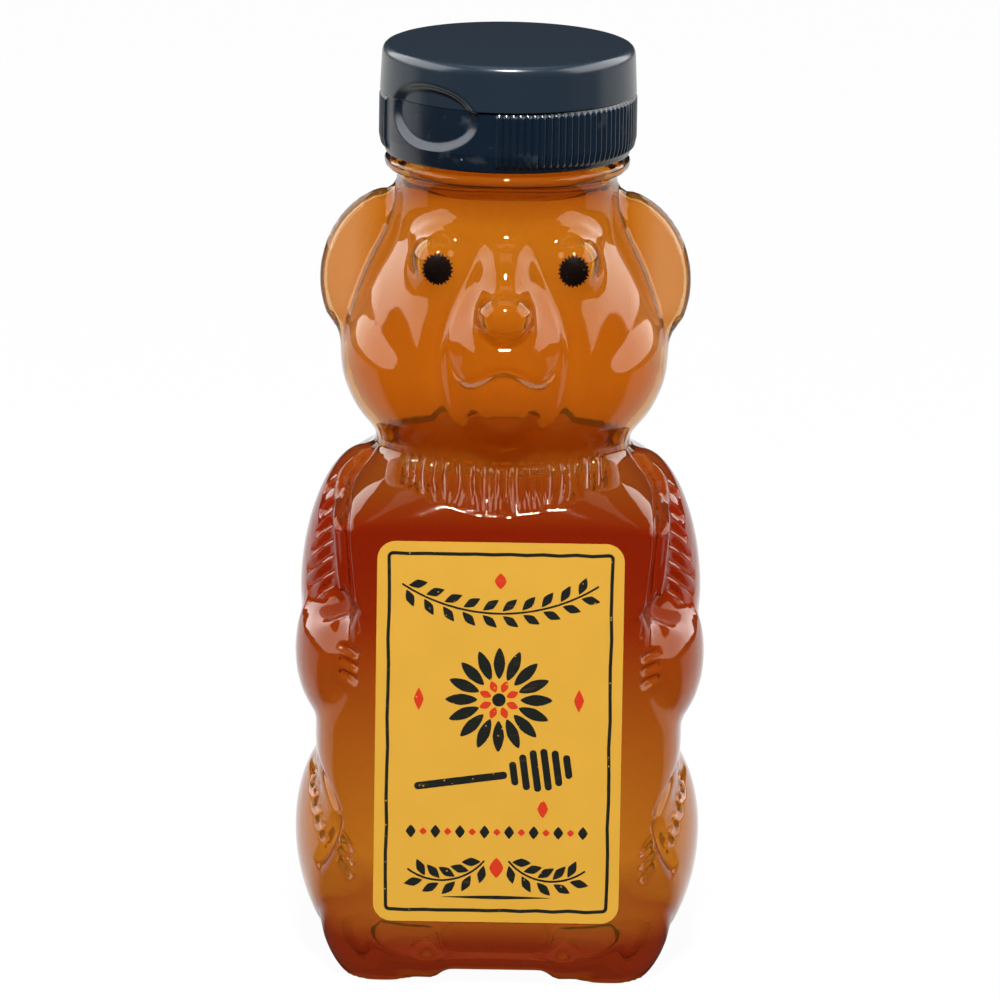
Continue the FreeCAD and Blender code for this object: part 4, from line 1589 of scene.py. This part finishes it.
def grey_world():
    """A dark grey room that is white where it is seen straight or through the bottle."""
    world = bpy.data.worlds.new("Grey room")
    bpy.context.scene.world = world
    world.use_nodes = True
    tree = world.node_tree
    _, seen = seen_mask(tree)
    level = ramp(tree, seen, (0.0, 1.0), (ROOM_DARK, ROOM_WHITE))
    feed(tree, tree.nodes["Background"], Color=(1.0, 1.0, 1.0, 1.0), Strength=level)


def white_floor():
    """A floor that is white to the camera and through the bottle. Gloss sees it white behind."""
    bpy.ops.object.select_all(action="DESELECT")
    bpy.ops.mesh.primitive_plane_add(size=FLOOR_SIZE, location=(0.0, 0.0, FLOOR_LEVEL * MM))
    floor = bpy.context.object
    floor.name = "floor"
    apply_place(floor)
    material, tree, shader, place = new_material("white_floor")
    axes = add_node(tree, "ShaderNodeSeparateXYZ", Vector=place)
    pale = ramp(tree, axes.outputs["Y"], FLOOR_FADE)
    path, seen = seen_mask(tree)
    colour = blend_colour(tree, combine(tree, "MAXIMUM", seen, pale), FLOOR_DARK, FLOOR_WHITE)
    feed(tree, shader, Base_Color=colour, Roughness=0.9, Specular_IOR_Level=0.0)
    mirrored_white = combine(tree, "MULTIPLY", path["Is Glossy Ray"], pale)
    share = combine(tree, "MULTIPLY", combine(tree, "MAXIMUM", seen, mirrored_white), FLOOR_GLOW)
    mix = add_node(tree, "ShaderNodeMixShader", Fac=share)
    tree.links.new(shader.outputs["BSDF"], mix.inputs[1])
    tree.links.new(tree.nodes.new("ShaderNodeEmission").outputs["Emission"], mix.inputs[2])
    tree.links.new(mix.outputs["Shader"], tree.nodes["Material Output"].inputs["Surface"])
    floor.data.materials.append(material)


def softbox(name, place, size, power, only_gloss):
    """A rectangular lamp aimed at the bottle. One that is only for gloss lights no dull surface."""
    lamp = bpy.data.lights.new(name, "AREA")
    lamp.shape = "RECTANGLE"
    lamp.size, lamp.size_y = size
    lamp.energy = power
    box = bpy.data.objects.new(name, lamp)
    box.location = place
    box.visible_transmission = False
    box.visible_diffuse = not only_gloss
    box.rotation_euler = (Vector(LAMP_AIM) - Vector(place)).to_track_quat("-Z", "Y").to_euler()
    bpy.context.collection.objects.link(box)


class HONEYBEAR_OT_stage(bpy.types.Operator):
    """Sets up the white room, the lamps and the camera"""

    bl_idname = "honeybear.stage"
    bl_label = "Stage"

    def execute(self, context):
        scene = context.scene
        settings = scene.honeybear_stage
        grey_world()
        white_floor()
        for lamp in LAMPS:
            softbox(*lamp)
        lens = bpy.data.cameras.new("camera")
        lens.lens = settings.lens
        lens.sensor_width = 36.0
        lens.clip_end = 50.0
        camera = bpy.data.objects.new("camera", lens)
        target = Vector((settings.sideways, 0.0, settings.aim))
        back = Vector((0.0, -math.cos(settings.elevation), math.sin(settings.elevation)))
        camera.location = target + back * settings.distance
        turn = (-back).to_track_quat("-Z", "Y").to_euler()
        turn.rotate_axis("Z", settings.roll)
        camera.rotation_euler = turn
        context.collection.objects.link(camera)
        scene.camera = camera
        scene.view_settings.view_transform = "Standard"
        return {"FINISHED"}


STEPS = ("bottle", "honey", "pupils", "label", "cap", "lid", "hinge", "seal", "stage")


class HONEYBEAR_PT_panel(bpy.types.Panel):
    """Lists the bottle's pieces and their settings"""

    bl_idname = "HONEYBEAR_PT_panel"
    bl_label = "Honey Bear"
    bl_space_type = "VIEW_3D"
    bl_region_type = "UI"
    bl_category = "Honey Bear"

    def draw(self, context):
        layout = self.layout
        for step in STEPS:
            layout.operator(f"honeybear.{step}")
        for name in SETTINGS:
            group = getattr(context.scene, name)
            box = layout.box()
            for prop in group.__annotations__:
                box.prop(group, prop)


SETTINGS = {
    "honeybear_skin": SkinSettings,
    "honeybear_honey": HoneySettings,
    "honeybear_label": LabelSettings,
    "honeybear_cap": CapSettings,
    "honeybear_stage": StageSettings,
}
OPERATORS = (
    HONEYBEAR_OT_bottle,
    HONEYBEAR_OT_honey,
    HONEYBEAR_OT_pupils,
    HONEYBEAR_OT_label,
    HONEYBEAR_OT_cap,
    HONEYBEAR_OT_lid,
    HONEYBEAR_OT_hinge,
    HONEYBEAR_OT_seal,
    HONEYBEAR_OT_stage,
)


def register():
    """Registers the settings, operators and panel."""
    for name, group in SETTINGS.items():
        bpy.utils.register_class(group)
        setattr(bpy.types.Scene, name, PointerProperty(type=group))
    for operator in (*OPERATORS, HONEYBEAR_PT_panel):
        bpy.utils.register_class(operator)


def unregister():
    """Takes them away again."""
    for operator in reversed((*OPERATORS, HONEYBEAR_PT_panel)):
        bpy.utils.unregister_class(operator)
    for name, group in SETTINGS.items():
        delattr(bpy.types.Scene, name)
        bpy.utils.unregister_class(group)


def main():
    """Builds every piece in order."""
    register()
    for step in STEPS:
        getattr(bpy.ops.honeybear, step)()


if __name__ == "__main__":
    main()
